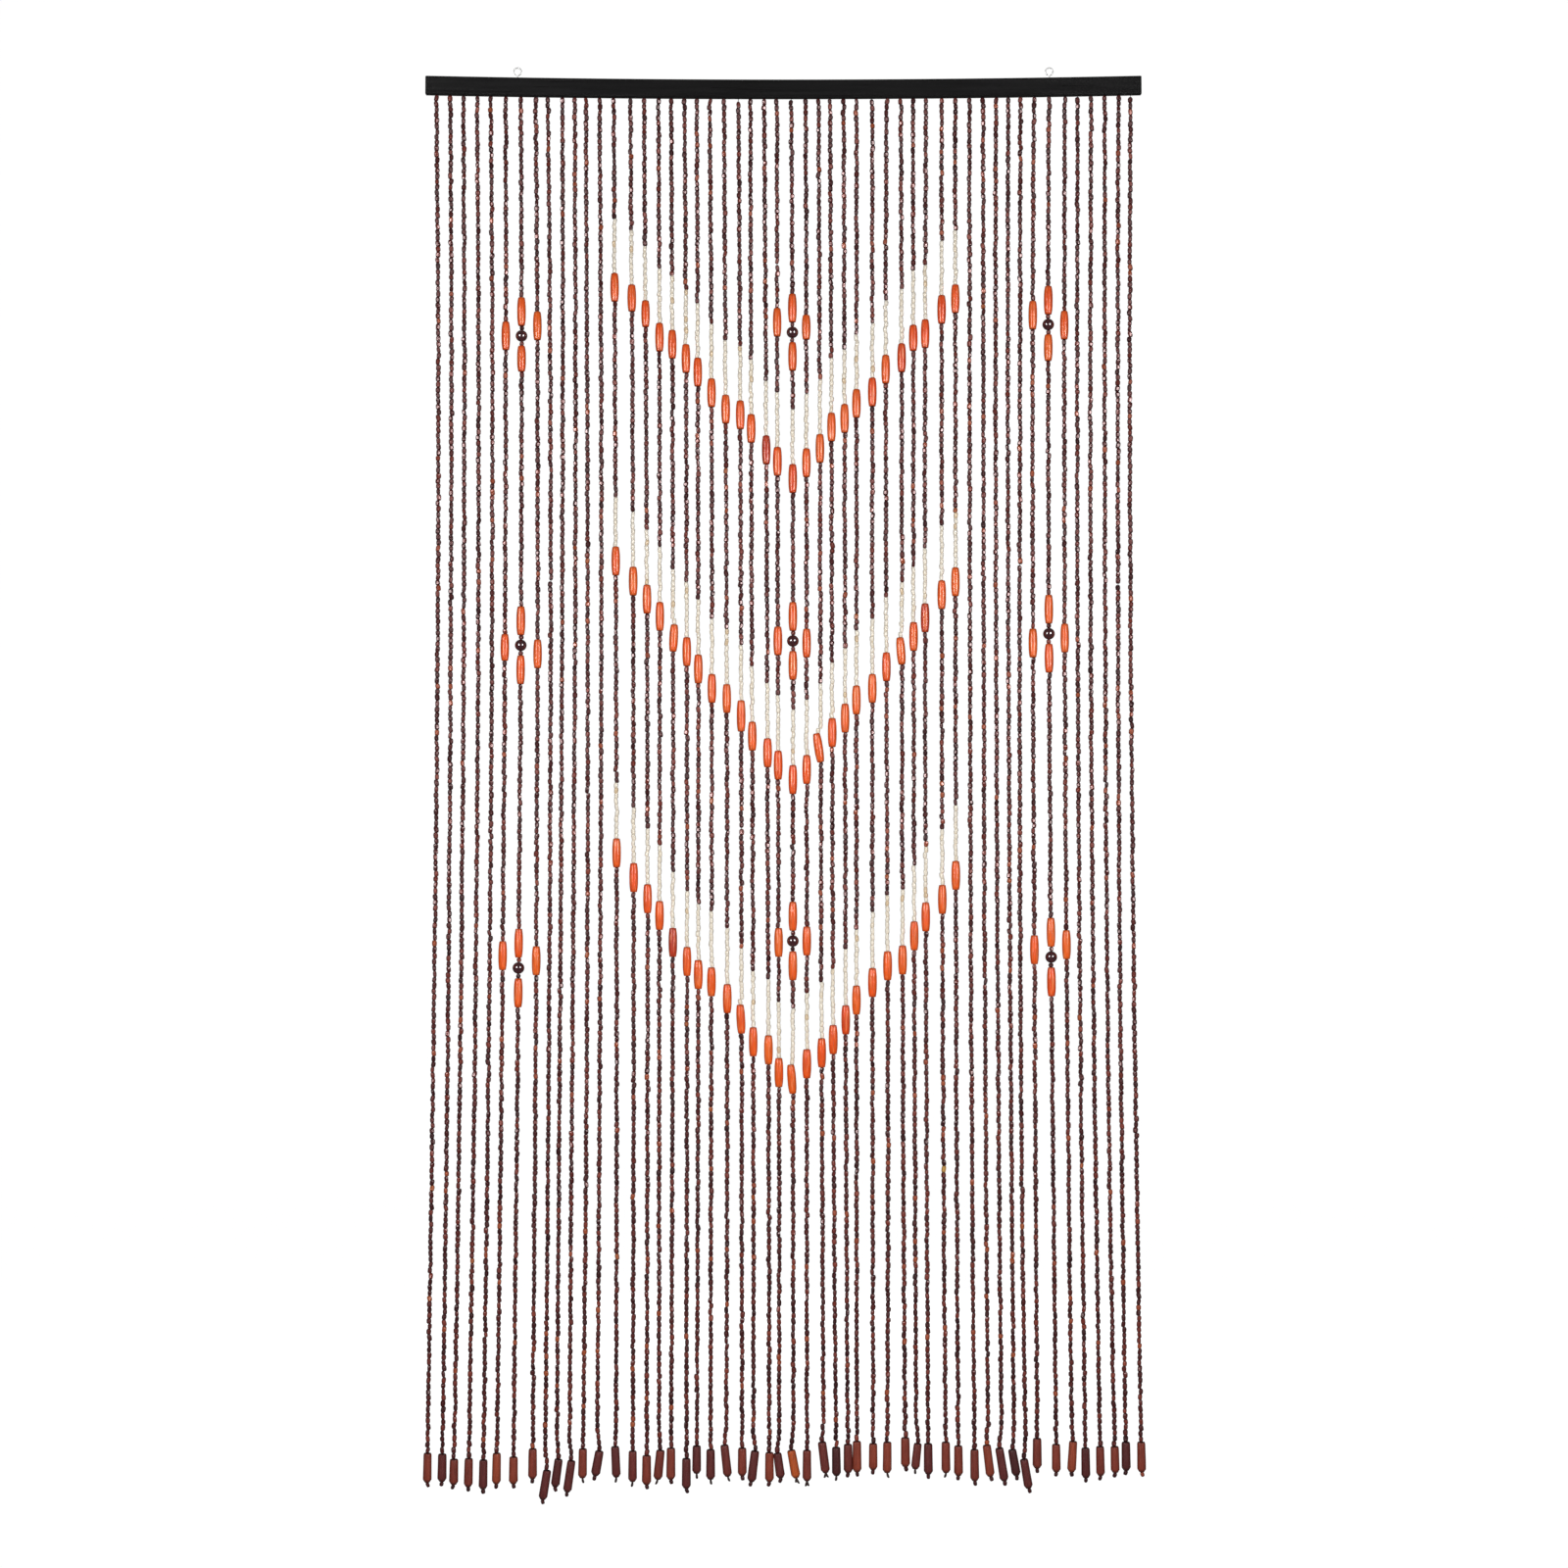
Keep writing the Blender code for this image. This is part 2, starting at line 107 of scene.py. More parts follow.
# Orange tubes, round beads and end tubes
TUBE_LENGTH = 40.2 * MM
TUBE_BELLY = 12.2 * MM
TUBE_END = 9 * MM
TUBE_POWER = 2.8
TUBE_SIDES = 20
ROUND_BEAD = 16.4 * MM
ROUND_SIDES = 32
ROUND_RINGS = 19
CLUSTER_STEP = 34 * MM
END_TOP = 9.8 * MM
END_SHOULDER = 3 * MM
END_NECK = 11.4 * MM
END_FOOT = 12.2 * MM
END_TAPER = 4.5 * MM
END_MOUTH = 7 * MM
END_SIDES = 10
HOLE = 2.2 * MM
LEAN_REACH = 30 * MM
STOPPER_WIDTH = 5.9 * MM
STOPPER_TOP = -0.4 * MM
STOPPER_LENGTH = 6.2 * MM
TAIL_LENGTH = 8 * MM

# Depths below the origin at which each strand's place across the curtain is given
LEVELS = (12 * MM, 673 * MM, 1509 * MM, 1903 * MM)

# One row a strand, in millimetres: its number from the left, its place across the
# curtain at the four levels, the drop of its end tube's foot, the tube's length, and how
# far its foot swings right of its top
STRANDS = (
    # no, top, upper, lower, foot, drop, tube, lean
    (1, -485, -478, -481, -484, 1923, 40, 0),
    (2, -465, -460, -461, -464, 1922, 38, 0),
    (3, -447, -442, -444, -448, 1926, 35, 0),
    (4, -428, -422, -424, -428, 1929, 39, 0),
    (5, -409, -403, -405, -408, 1932, 40, 0),
    (6, -388, -385, -387, -390, 1925, 42, 0),
    (7, -367, -363, -365, -367, 1925, 37, 0),
    (8, -346, -340, -340, -341, 1918, 41, 0),
    (9, -329, -322, -322, -324, 1946, 40, -6),
    (10, -309, -306, -307, -308, 1929, 38, -5),
    (11, -292, -288, -290, -291, 1936, 43, -6),
    (12, -276, -271, -270, -273, 1917, 40, 0),
    (13, -257, -252, -252, -253, 1914, 34, -6),
    (14, -237, -232, -228, -228, 1916, 42, 2),
    (15, -214, -208, -205, -205, 1922, 42, 0),
    (16, -195, -189, -186, -186, 1926, 40, 0),
    (17, -175, -171, -170, -169, 1919, 40, -4),
    (18, -157, -153, -152, -153, 1919, 43, 0),
    (19, -138, -134, -132, -132, 1931, 41, 0),
    (20, -121, -118, -117, -118, 1911, 38, 0),
    (21, -103, -99, -99, -99, 1919, 41, 0),
    (22, -83, -79, -77, -78, 1915, 43, 5),
    (23, -63, -59, -57, -56, 1914, 38, 0),
    (24, -46, -44, -41, -41, 1922, 42, -5),
    (25, -27, -23, -20, -19, 1922, 40, 0),
    (26, -9, -8, -6, -6, 1917, 34, 5),
    (27, 11, 13, 13, 14, 1917, 38, 7),
    (28, 31, 32, 32, 32, 1921, 42, 0),
    (29, 49, 51, 53, 55, 1910, 42, 5),
    (30, 65, 67, 69, 72, 1914, 39, 0),
    (31, 84, 85, 86, 88, 1910, 39, 0),
    (32, 102, 101, 100, 100, 1909, 42, 0),
    (33, 124, 123, 122, 122, 1906, 36, 0),
    (34, 144, 142, 143, 141, 1910, 42, 0),
    (35, 164, 164, 164, 166, 1902, 40, 0),
    (36, 181, 180, 180, 181, 1905, 35, -4),
    (37, 199, 196, 196, 197, 1912, 42, 0),
    (38, 221, 219, 219, 221, 1910, 42, 0),
    (39, 240, 238, 237, 238, 1914, 41, 0),
    (40, 260, 258, 258, 260, 1921, 43, 0),
    (41, 279, 277, 277, 279, 1915, 43, 5),
    (42, 297, 294, 295, 297, 1921, 45, 7),
    (43, 314, 311, 312, 314, 1914, 36, 6),
    (44, 331, 327, 326, 330, 1931, 40, 6),
    (45, 350, 345, 345, 345, 1904, 41, 0),
    (46, 371, 367, 369, 371, 1909, 38, 0),
    (47, 393, 389, 390, 393, 1909, 42, -3),
    (48, 411, 407, 408, 411, 1917, 41, 0),
    (49, 430, 425, 427, 431, 1914, 40, 0),
    (50, 449, 445, 446, 451, 1910, 36, 0),
    (51, 468, 463, 463, 466, 1907, 39, 0),
    (52, 485, 480, 483, 487, 1909, 41, 0),
)

# The three V rows, in millimetres: the drop of each orange tube's middle on the strand
CHEVRONS = (
    # no, first, second, third
    (14, 280, 663, 1067),
    (15, 295, 691, 1101),
    (16, 317, 716, 1130),
    (17, 350, 740, 1153),
    (18, 360, 770, 1190),
    (19, 380, 789, 1216),
    (20, 399, 813, 1234),
    (21, 428, 840, 1244),
    (22, 451, 854, 1267),
    (23, 459, 878, 1295),
    (24, 478, 906, 1326),
    (25, 508, 929, 1337),
    (26, 524, 946, 1368),
    (27, 548, 966, 1377),
    (28, 526, 952, 1356),
    (29, 506, 922, 1341),
    (30, 476, 901, 1323),
    (31, 464, 881, 1296),
    (32, 443, 856, 1269),
    (33, 427, 840, 1245),
    (34, 395, 810, 1222),
    (35, 379, 788, 1214),
    (36, 351, 768, 1181),
    (37, 345, 742, 1155),
    (38, 311, 710, 1131),
    (39, 296, 692, 1098),
)

# The nine clusters, in millimetres: the middle strand's number, the drop of its round
# bead, and the drops of the single tubes on the strands to its left and right
CLUSTERS = (
    # no, round, left, right
    (7, 348, 348, 334),
    (7, 780, 783, 792),
    (7, 1225, 1208, 1215),
    (27, 343, 329, 336),
    (27, 774, 774, 777),
    (27, 1188, 1190, 1188),
    (46, 332, 319, 333),
    (46, 764, 777, 770),
    (46, 1210, 1200, 1193),
)

# Orange tubes that hang askew: the strand, the tube's drop, and how far its top stands
# to the right of its foot, in millimetres
ASKEW = (
    # no, drop, top
    (18, 770, 2),
    (29, 922, -6),
    (35, 788, -3),
    (27, 1377, -3),
    (23, 1295, -2),
)
ASKEW_REACH = 8 * MM

# Orange tubes of another length than the rest, in millimetres: the strand, the tube's
# drop, to within the reach below, and its length
ODD_TUBES = (
    # no, drop, length
    (6, 783, 37.5),
    (7, 382, 36.5),
    (15, 295, 38),
    (16, 317, 37.5),
    (18, 770, 38),
    (23, 878, 43.5),
    (28, 336, 35),
    (35, 788, 38),
    (36, 351, 36.5),
    (46, 366, 37.5),
)
ODD_REACH = 3 * MM

# Cream runs that are a bead short: the strand and the drop of the tube below the run
SHORT_RUNS = ((14, 663), (29, 922))

# Places where a little thread shows between two beads: the strand and the drop, in mm
BARE_THREAD = ((9, 687), (23, 1034), (26, 245), (44, 670), (51, 694))
BARE_LENGTH = 2.2 * MM

# Orange tubes whose lacquer came out redder: the strand, the tube's drop, and how much
REDDER = (
    # no, drop, share
    (25, 508, 1.0),
    (27, 548, 0.45),
    (38, 311, 0.4),
    (35, 379, 0.55),
    (37, 742, 0.85),
    (18, 1190, 1.0),
    (31, 1296, 0.5),
)

# One small bead that is tan instead of brown: the strand and the drop, in mm
TAN_BEAD = (38, 1496)

# The end tubes, by strand: how light the stain is, from 0 to 9, and what is below
END_TUBES = (
    # no, stain, below
    (1, 6, "bead"),
    (2, 3, "bead"),
    (3, 5, "bead"),
    (4, 5, "bead"),
    (5, 3, "bead"),
    (6, 8, "bead"),
    (7, 7, "bead"),
    (8, 6, "bead"),
    (9, 3, "bead"),
    (10, 2, "bead"),
    (11, 3, "bead"),
    (12, 6, "tail"),
    (13, 3, "bead"),
    (14, 3, "tail"),
    (15, 4, "tail"),
    (16, 6, "bead"),
    (17, 5, "tail"),
    (18, 6, "bead"),
    (19, 3, "bead"),
    (20, 3, "tail"),
    (21, 3, "tail"),
    (22, 4, "tail"),
    (23, 6, "bead"),
    (24, 3, "bead"),
    (25, 7, "bead"),
    (26, 3, "bead"),
    (27, 9, "ends"),
    (28, 5, "ends"),
    (29, 4, "ends"),
    (30, 1, "tail"),
    (31, 4, "bead"),
    (32, 7, "bead"),
    (33, 7, "bead"),
    (34, 7, "tail"),
    (35, 6, "bead"),
    (36, 4, "tail"),
    (37, 3, "bead"),
    (38, 6, "tail"),
    (39, 6, "bead"),
    (40, 5, "bead"),
    (41, 7, "bead"),
    (42, 3, "bead"),
    (43, 1, "bead"),
    (44, 3, "bead"),
    (45, 5, "bead"),
    (46, 6, "bead"),
    (47, 8, "bead"),
    (48, 2, "bead"),
    (49, 5, "bead"),
    (50, 6, "bead"),
    (51, 2, "bead"),
    (52, 6, "bead"),
)

# Dark beads by piece: name, first and last strand, and the node that they stand for
BEAD_PIECES = (
    ("beads_far_left", 1, 6, "strands_left"),
    ("beads_left", 7, 13, "strands_left"),
    ("beads_middle_left", 14, 26, "strands_middle"),
    ("beads_middle_right", 27, 39, "strands_middle"),
    ("beads_right", 40, 46, "strands_right"),
    ("beads_far_right", 47, 52, "strands_right"),
)
STRAND_NODES = ("strands_left", "strands_middle", "strands_right")

# Closing strips: first and last strand
STRIP_GROUPS = ((1, 13), (14, 39), (40, 52))


# Shapes

def rise(x):
    """Height of the batten's line above its middle: a parabola, highest at the ends."""
    return BATTEN_RISE * (2 * x / BATTEN_LENGTH) ** 2


def root_drop(row):
    """Drop of the batten's underside where a strand leaves it."""
    return BATTEN_HEIGHT / 2 - rise(row[1] * MM)


def place_across(row, drop):
    """X of a strand at an array of drops.

    The cubic through its places at the four levels, plus the lean of its end tube,
    which is minus half at the tube's top, plus half at its foot and fades out above,
    plus the shift of an askew tube, which is most at the tube's top and none at its foot.
    """
    drop = np.asarray(drop, float)
    across = np.zeros_like(drop)
    for i, level in enumerate(LEVELS):
        weight = np.ones_like(drop)
        for j, other in enumerate(LEVELS):
            if j != i:
                weight = weight * (drop - other) / (level - other)
        across += row[1 + i] * MM * weight
    foot = row[5] * MM
    top = foot - row[6] * MM
    knots = (top - LEAN_REACH, top, foot, foot + TAIL_LENGTH)
    across += row[7] * MM * np.interp(drop, knots, (0.0, -0.5, 0.5, 0.7))
    for strand, middle, shift in ASKEW:
        if strand == row[0]:
            head = middle * MM - TUBE_LENGTH / 2
            knots = (head - ASKEW_REACH, head, head + TUBE_LENGTH)
            across += shift * MM * np.interp(drop, knots, (0.0, 1.0, 0.0))
    return across


def strand_points(row, drop):
    """Points of a strand at an array of drops, in the middle of the batten's depth."""
    across = place_across(row, drop)
    return np.stack([across, np.full_like(across, MID_DEPTH), -np.asarray(drop)], -1)


def tube_stretch(number, drop, side=0):
    """Top and bottom drops of the orange tube whose middle is at a drop on a strand.

    Side is -1 above and 1 below a round bead, where a short tube stays close to it.
    """
    length = TUBE_LENGTH
    for strand, middle, other in ODD_TUBES:
        if strand == number and abs(middle * MM - drop) < ODD_REACH:
            length = other * MM
    drop -= side * (TUBE_LENGTH - length) / 2
    return drop - length / 2, drop + length / 2


def feature_rows(row):
    """What is strung on a strand besides small beads: kind, top and bottom drops."""
    number = row[0]
    found = []
    for line in CHEVRONS:
        if line[0] == number:
            for middle in line[1:]:
                run = CREAM_RUN - ((number, middle) in SHORT_RUNS)
                head, base = tube_stretch(number, middle * MM)
                found.append(("cream", head - run * CREAM_PITCH, head))
                found.append(("tube", head, base))
    for middle, ball, left, right in CLUSTERS:
        if number == middle - 1:
            found.append(("tube", *tube_stretch(number, left * MM)))
        if number == middle + 1:
            found.append(("tube", *tube_stretch(number, right * MM)))
        if number == middle:
            for side in (-1, 1):
                place = ball * MM + side * CLUSTER_STEP
                found.append(("tube", *tube_stretch(number, place, side)))
            radius = ROUND_BEAD / 2
            found.append(("round", ball * MM - radius, ball * MM + radius))
    foot = row[5] * MM
    found.append(("end", foot - row[6] * MM, foot))
    return sorted(found, key=lambda item: item[1])


def strand_stretches(row):
    """All that is strung on a strand, top to bottom: kind, top and bottom drops."""
    drop = root_drop(row) + LATE_FIRST_BEAD.get(row[0], FIRST_BEAD_GAP)
    found = []
    for kind, top, bottom in feature_rows(row):
        if top - drop > DARK_PITCH / 2:
            found.append(("dark", drop, top))
        found.append((kind, top, bottom))
        drop = bottom
    return found


def bead_stack(row, top, bottom, pitch):
    """Middles and lengths of the small beads that fill a stretch.

    As many as fit at the pitch, each a little longer or shorter, then all drawn to
    the stretch's length. Where bare thread shows, the beads part there.
    """
    count = max(1, round((bottom - top) / pitch))
    bare = [d * MM for n, d in BARE_THREAD if n == row[0] and top < d * MM < bottom]
    lengths = RANDOM.uniform(0.86, 1.14, count)
    lengths *= (bottom - top - BARE_LENGTH * len(bare)) / lengths.sum()
    middles = top + np.cumsum(lengths) - lengths / 2
    for drop in bare:
        middles[middles > drop] += BARE_LENGTH
    return middles, lengths


def turned_solids(foot, head, along, widths, sides, closed_bore, wobble=0.0):
    """Turned solids, one for each row of foot and head, as rings of points.

    A point is the axis's point at a share of the way from foot to head, moved out by
    the profile's half width at the ring's angle. Widths may differ from solid to
    solid. Wobble moves each point in or out by a random share of its half width.
    """
    count = len(foot)
    axis = head - foot
    length = np.linalg.norm(axis, axis=-1, keepdims=True)
    up = axis / length
    right = np.array([1.0, 0.0, 0.0]) - up * up[:, :1]
    right /= np.linalg.norm(right, axis=-1, keepdims=True)
    back = np.cross(up, right)
    turn = RANDOM.uniform(0, 2 * np.pi, (count, 1, 1))
    angle = turn + np.linspace(0, 2 * np.pi, sides, endpoint=False)[None, None, :]
    along = np.broadcast_to(along, (count, np.shape(along)[-1]))
    radius = np.broadcast_to(widths, along.shape)[:, :, None] / 2
    radius = radius * (1 + wobble * RANDOM.uniform(-1, 1, along.shape + (sides,)))
    middle = foot[:, None, None] + axis[:, None, None] * along[:, :, None, None]
    across = (radius * np.cos(angle))[..., None] * right[:, None, None]
    deep = (radius * np.sin(angle))[..., None] * back[:, None, None]
    return middle + across + deep, closed_bore


def ring_faces(count, rings, sides, closed_bore):
    """Faces that join the rings of many alike solids, and cap those without a bore."""
    solid = np.arange(count)[:, None, None] * rings * sides
    ring = np.arange(rings if closed_bore else rings - 1)[None, :, None]
    side = np.arange(sides)[None, None, :]
    above = (ring + 1) % rings
    beside = (side + 1) % sides
    quads = np.stack(
        [
            solid + ring * sides + side,
            solid + ring * sides + beside,
            solid + above * sides + beside,
            solid + above * sides + side,
        ],
        -1,
    ).reshape(-1, 4)
    if closed_bore:
        return quads, np.zeros((0, sides), int)
    flat = solid[:, 0]
    ends = np.concatenate([flat + side[0, :, ::-1], flat + (rings - 1) * sides + side[0]])
    return quads, ends


def new_piece(name, blocks, values, material, nodes, flat=False):
    """Values are the block's attributes, each an array that spreads over its points. Flat
    says which solids are shaded as facets.
    """
    points = []
    corners = []
    totals = []
    smooth = []
    data = {key: [] for key in values[0]}
    start = 0
    for (rings, closed_bore), given in zip(blocks, values):
        count, tiers, sides = rings.shape[:3]
        quads, ends = ring_faces(count, tiers, sides, closed_bore)
        points.append(rings.reshape(-1, 3))
        corners += [(quads + start).ravel(), (ends + start).ravel()]
        totals += [np.full(len(quads), 4), np.full(len(ends), sides)]
        rounded = np.repeat(np.broadcast_to(~np.asarray(flat), count), len(quads) // count)
        smooth += [rounded, np.zeros(len(ends), bool)]
        for key, value in given.items():
            data[key].append(np.broadcast_to(value, rings.shape[:3]).ravel())
        start += count * tiers * sides
    mesh = bpy.data.meshes.new(name)
    points = np.concatenate(points)
    corners = np.concatenate(corners)
    totals = np.concatenate(totals)
    mesh.vertices.add(len(points))
    mesh.vertices.foreach_set("co", points.ravel())
    mesh.loops.add(len(corners))
    mesh.loops.foreach_set("vertex_index", corners.astype(np.int32))
    mesh.polygons.add(len(totals))
    mesh.polygons.foreach_set("loop_start", (np.cumsum(totals) - totals).astype(np.int32))
    mesh.update(calc_edges=True)
    mesh.polygons.foreach_set("use_smooth", np.concatenate(smooth))
    for key, value in data.items():
        layer = mesh.attributes.new(key, "FLOAT", "POINT")
        layer.data.foreach_set("value", np.concatenate(value).astype(np.float32))
    mesh.materials.append(material)
    piece = bpy.data.objects.new(name, mesh)
    bpy.context.scene.collection.objects.link(piece)
    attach(piece, "root")
    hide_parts(*nodes)
    return piece


# Materials

def new_finish(name):
    """A new material, its node tree and its Principled shader."""
    material = bpy.data.materials.new(name)
    material.use_nodes = True
    tree = material.node_tree
    return material, tree, tree.nodes["Principled BSDF"]


def add_node(tree, kind, inputs=None, **settings):
    """Add a node, with settings, and inputs that are values or other nodes' sockets."""
    made = tree.nodes.new(kind)
    for name, value in settings.items():
        setattr(made, name, value)
    for name, value in (inputs or {}).items():
        if isinstance(value, bpy.types.NodeSocket):
            tree.links.new(value, made.inputs[name])
        else:
            made.inputs[name].default_value = value
    return made


def attribute(tree, name):
    """A point attribute's number."""
    return add_node(tree, "ShaderNodeAttribute", attribute_name=name).outputs["Fac"]


def noise(tree, size, stretch=(1, 1, 1), detail=3.0, roughness=0.55):
    """Noise on Object coordinates: its features are about size wide, times stretch."""
    place = add_node(tree, "ShaderNodeTexCoord").outputs["Object"]
    scale = [1 / (size * share) for share in stretch]
    moved = add_node(tree, "ShaderNodeMapping", {"Vector": place, "Scale": scale})
    settings = {
        "Vector": moved.outputs["Vector"],
        "Scale": 1.0,
        "Detail": detail,
        "Roughness": roughness,
    }
    return add_node(tree, "ShaderNodeTexNoise", settings).outputs["Fac"]


def ramp(tree, factor, *stops):
    """A colour ramp from pairs of a place and a colour or a grey."""
    made = add_node(tree, "ShaderNodeValToRGB", {"Fac": factor})
    band = made.color_ramp
    while len(band.elements) < len(stops):
        band.elements.new(0.5)
    for element, (place, colour) in zip(band.elements, stops):
        element.position = place
        element.color = (*colour, 1.0) if isinstance(colour, tuple) else (colour,) * 3 + (1.0,)
    return made.outputs["Color"]


def blend(tree, factor, first, second, kind="MIX"):
    """Mix two colours, each a socket or a colour."""
    made = tree.nodes.new("ShaderNodeMix")
    made.data_type = "RGBA"
    made.blend_type = kind
    for index, value in ((0, factor), (6, first), (7, second)):
        if isinstance(value, bpy.types.NodeSocket):
            tree.links.new(value, made.inputs[index])
        elif index == 0:
            made.inputs[index].default_value = value
        else:
            made.inputs[index].default_value = (*value, 1.0)
    return made.outputs[2]


def bump(tree, height, distance, strength=1.0, normal=None):
    """A bump of a height, in metres at full strength."""
    inputs = {"Height": height, "Distance": distance, "Strength": strength}
    if normal is not None:
        inputs["Normal"] = normal
    return add_node(tree, "ShaderNodeBump", inputs).outputs["Normal"]


def join(tree, shader, **sockets):
    """Link sockets to the shader's inputs; an underscore in a name stands for a space."""
    for name, socket in sockets.items():
        tree.links.new(socket, shader.inputs[name.replace("_", " ")])


def dark_bead_finish():
    """Stained beads: each its own brown and polish, painted shade at the ends, a little lumpy.
    """
    material, tree, shader = new_finish("bead_stain")
    stain = ramp(
        tree,
        attribute(tree, "tone"),
        (0.0, (0.028, 0.006, 0.008)),
        (0.45, (0.102, 0.020, 0.019)),
        (0.80, (0.230, 0.041, 0.027)),
        (0.92, (0.400, 0.085, 0.032)),
        (1.0, (0.640, 0.350, 0.090)),
    )
    figure = noise(tree, 1.6 * MM, (0.7, 0.7, 2.0), 3.0)
    shade = ramp(tree, figure, (0.3, 0.76), (0.7, 1.16))
    stain = blend(tree, 1.0, stain, shade, "MULTIPLY")
    # Painted shade: the colour darkens towards each bead's ends, where the beads meet and
    # shade falls.
    joint_shade = ramp(tree, attribute(tree, "end"), (0.35, 0.0), (1.0, 0.9))
    stain = blend(tree, joint_shade, stain, (0.016, 0.003, 0.004))
    rough = ramp(tree, attribute(tree, "polish"), (0.0, 0.72), (0.5, 0.48), (1.0, 0.24))
    lump = noise(tree, 6.0 * MM, (1, 1, 1), 1.0)
    fine = noise(tree, 0.5 * MM, (1, 1, 3), 2.0)
    normal = bump(tree, fine, 0.02 * MM, 1.0, bump(tree, lump, 0.25 * MM))
    join(tree, shader, Base_Color=stain, Roughness=rough, Normal=normal)
    shader.inputs["IOR"].default_value = 1.55
    shader.inputs["Specular IOR Level"].default_value = 0.6
    shader.inputs["Specular Tint"].default_value = (1.0, 0.80, 0.79, 1.0)
    return material


def cream_bead_finish():
    """Satin cream beads: pale, each a little different, with faint figure."""
    material, tree, shader = new_finish("cream_paint")
    paint = ramp(
        tree,
        attribute(tree, "tone"),
        (0.0, (0.99, 0.91, 0.78)),
        (0.6, (0.96, 0.86, 0.70)),
        (0.9, (0.88, 0.73, 0.52)),
        (1.0, (0.74, 0.52, 0.30)),
    )
    figure = noise(tree, 1.4 * MM, (1, 1, 2.5), 3.0)
    paint = blend(tree, 1.0, paint, ramp(tree, figure, (0.3, 0.90), (0.7, 1.04)), "MULTIPLY")
    # Painted shade: the cream turns tan towards each bead's ends, where the beads meet.
    joint_shade = ramp(tree, attribute(tree, "end"), (0.4, 0.0), (1.0, 0.3))
    paint = blend(tree, joint_shade, paint, (0.74, 0.60, 0.42))
    rough = ramp(tree, noise(tree, 2.0 * MM), (0.3, 0.34), (0.7, 0.5))
    normal = bump(tree, noise(tree, 2.6 * MM, (1, 1, 1), 2.0), 0.35 * MM)
    join(tree, shader, Base_Color=paint, Roughness=rough, Normal=normal)
    return material


def orange_tube_finish():
    """Orange lacquer over turned wood: grain, pale streaks along it as painted highlights,
    painted shade at the ends.
    """
    material, tree, shader = new_finish("orange_lacquer")
    lacquer = ramp(
        tree,
        attribute(tree, "tone"),
        (0.0, (1.0, 0.145, 0.014)),
        (0.3, (0.98, 0.094, 0.010)),
        (1.0, (0.56, 0.045, 0.016)),
    )
    grain = noise(tree, 0.9 * MM, (1, 1, 22), 5.0, 0.65)
    shade = ramp(tree, grain, (0.30, 0.55), (0.5, 0.96), (0.70, 1.10))
    lacquer = blend(tree, 1.0, lacquer, shade, "MULTIPLY")
    clouds = ramp(tree, noise(tree, 9 * MM, (1, 1, 2), 2.0), (0.3, 0.90), (0.7, 1.05))
    lacquer = blend(tree, 1.0, lacquer, clouds, "MULTIPLY")
    # Painted highlight: pale orange streaks along the tube stand in for the softboxes'
    # highlight streaks.
    streaks = ramp(tree, noise(tree, 1.9 * MM, (1, 1, 14), 1.0), (0.54, 0.0), (0.66, 0.6))
    lacquer = blend(tree, streaks, lacquer, (1.0, 0.28, 0.09))
    # Painted shade: the lacquer darkens towards the tube's ends and end faces, where it meets
    # its neighbours.
    edge = ramp(tree, attribute(tree, "end"), (0.70, 0.0), (0.88, 0.4), (1.0, 0.9))
    lacquer = blend(tree, edge, lacquer, (0.25, 0.026, 0.006))
    rough = ramp(tree, grain, (0.3, 0.32), (0.7, 0.22))
    ridges = noise(tree, 1.2 * MM, (1, 1, 24), 1.0)
    dents = noise(tree, 5 * MM, (1, 1, 2), 1.0)
    normal = bump(tree, ridges, 0.10 * MM, 1.0, bump(tree, dents, 0.25 * MM))
    join(tree, shader, Base_Color=lacquer, Roughness=rough, Normal=normal)
    shader.inputs["Specular IOR Level"].default_value = 0.38
    return material


def round_bead_finish():
    """Dark maroon lacquer, glossy, with faint figure under it."""
    material, tree, shader = new_finish("maroon_lacquer")
    figure = noise(tree, 2.6 * MM, (0.6, 0.6, 3), 4.0)
    stain = ramp(tree, figure, (0.3, (0.028, 0.006, 0.010)), (0.72, (0.085, 0.016, 0.020)))
    # Painted shade: the lacquer turns near black at the poles, where the tubes meet the bead.
    edge = ramp(tree, attribute(tree, "end"), (0.8, 0.0), (1.0, 0.9))
    stain = blend(tree, edge, stain, (0.010, 0.003, 0.003))
    rough = ramp(tree, noise(tree, 3 * MM), (0.3, 0.10), (0.7, 0.20))
    normal = bump(tree, noise(tree, 5 * MM, (1, 1, 1), 1.0), 0.12 * MM)
    join(tree, shader, Base_Color=stain, Roughness=rough, Normal=normal)
    shader.inputs["Specular IOR Level"].default_value = 0.8
    shader.inputs["Coat Weight"].default_value = 1.0
    shader.inputs["Coat Roughness"].default_value = 0.06
    shader.inputs["Coat IOR"].default_value = 1.6
    return material


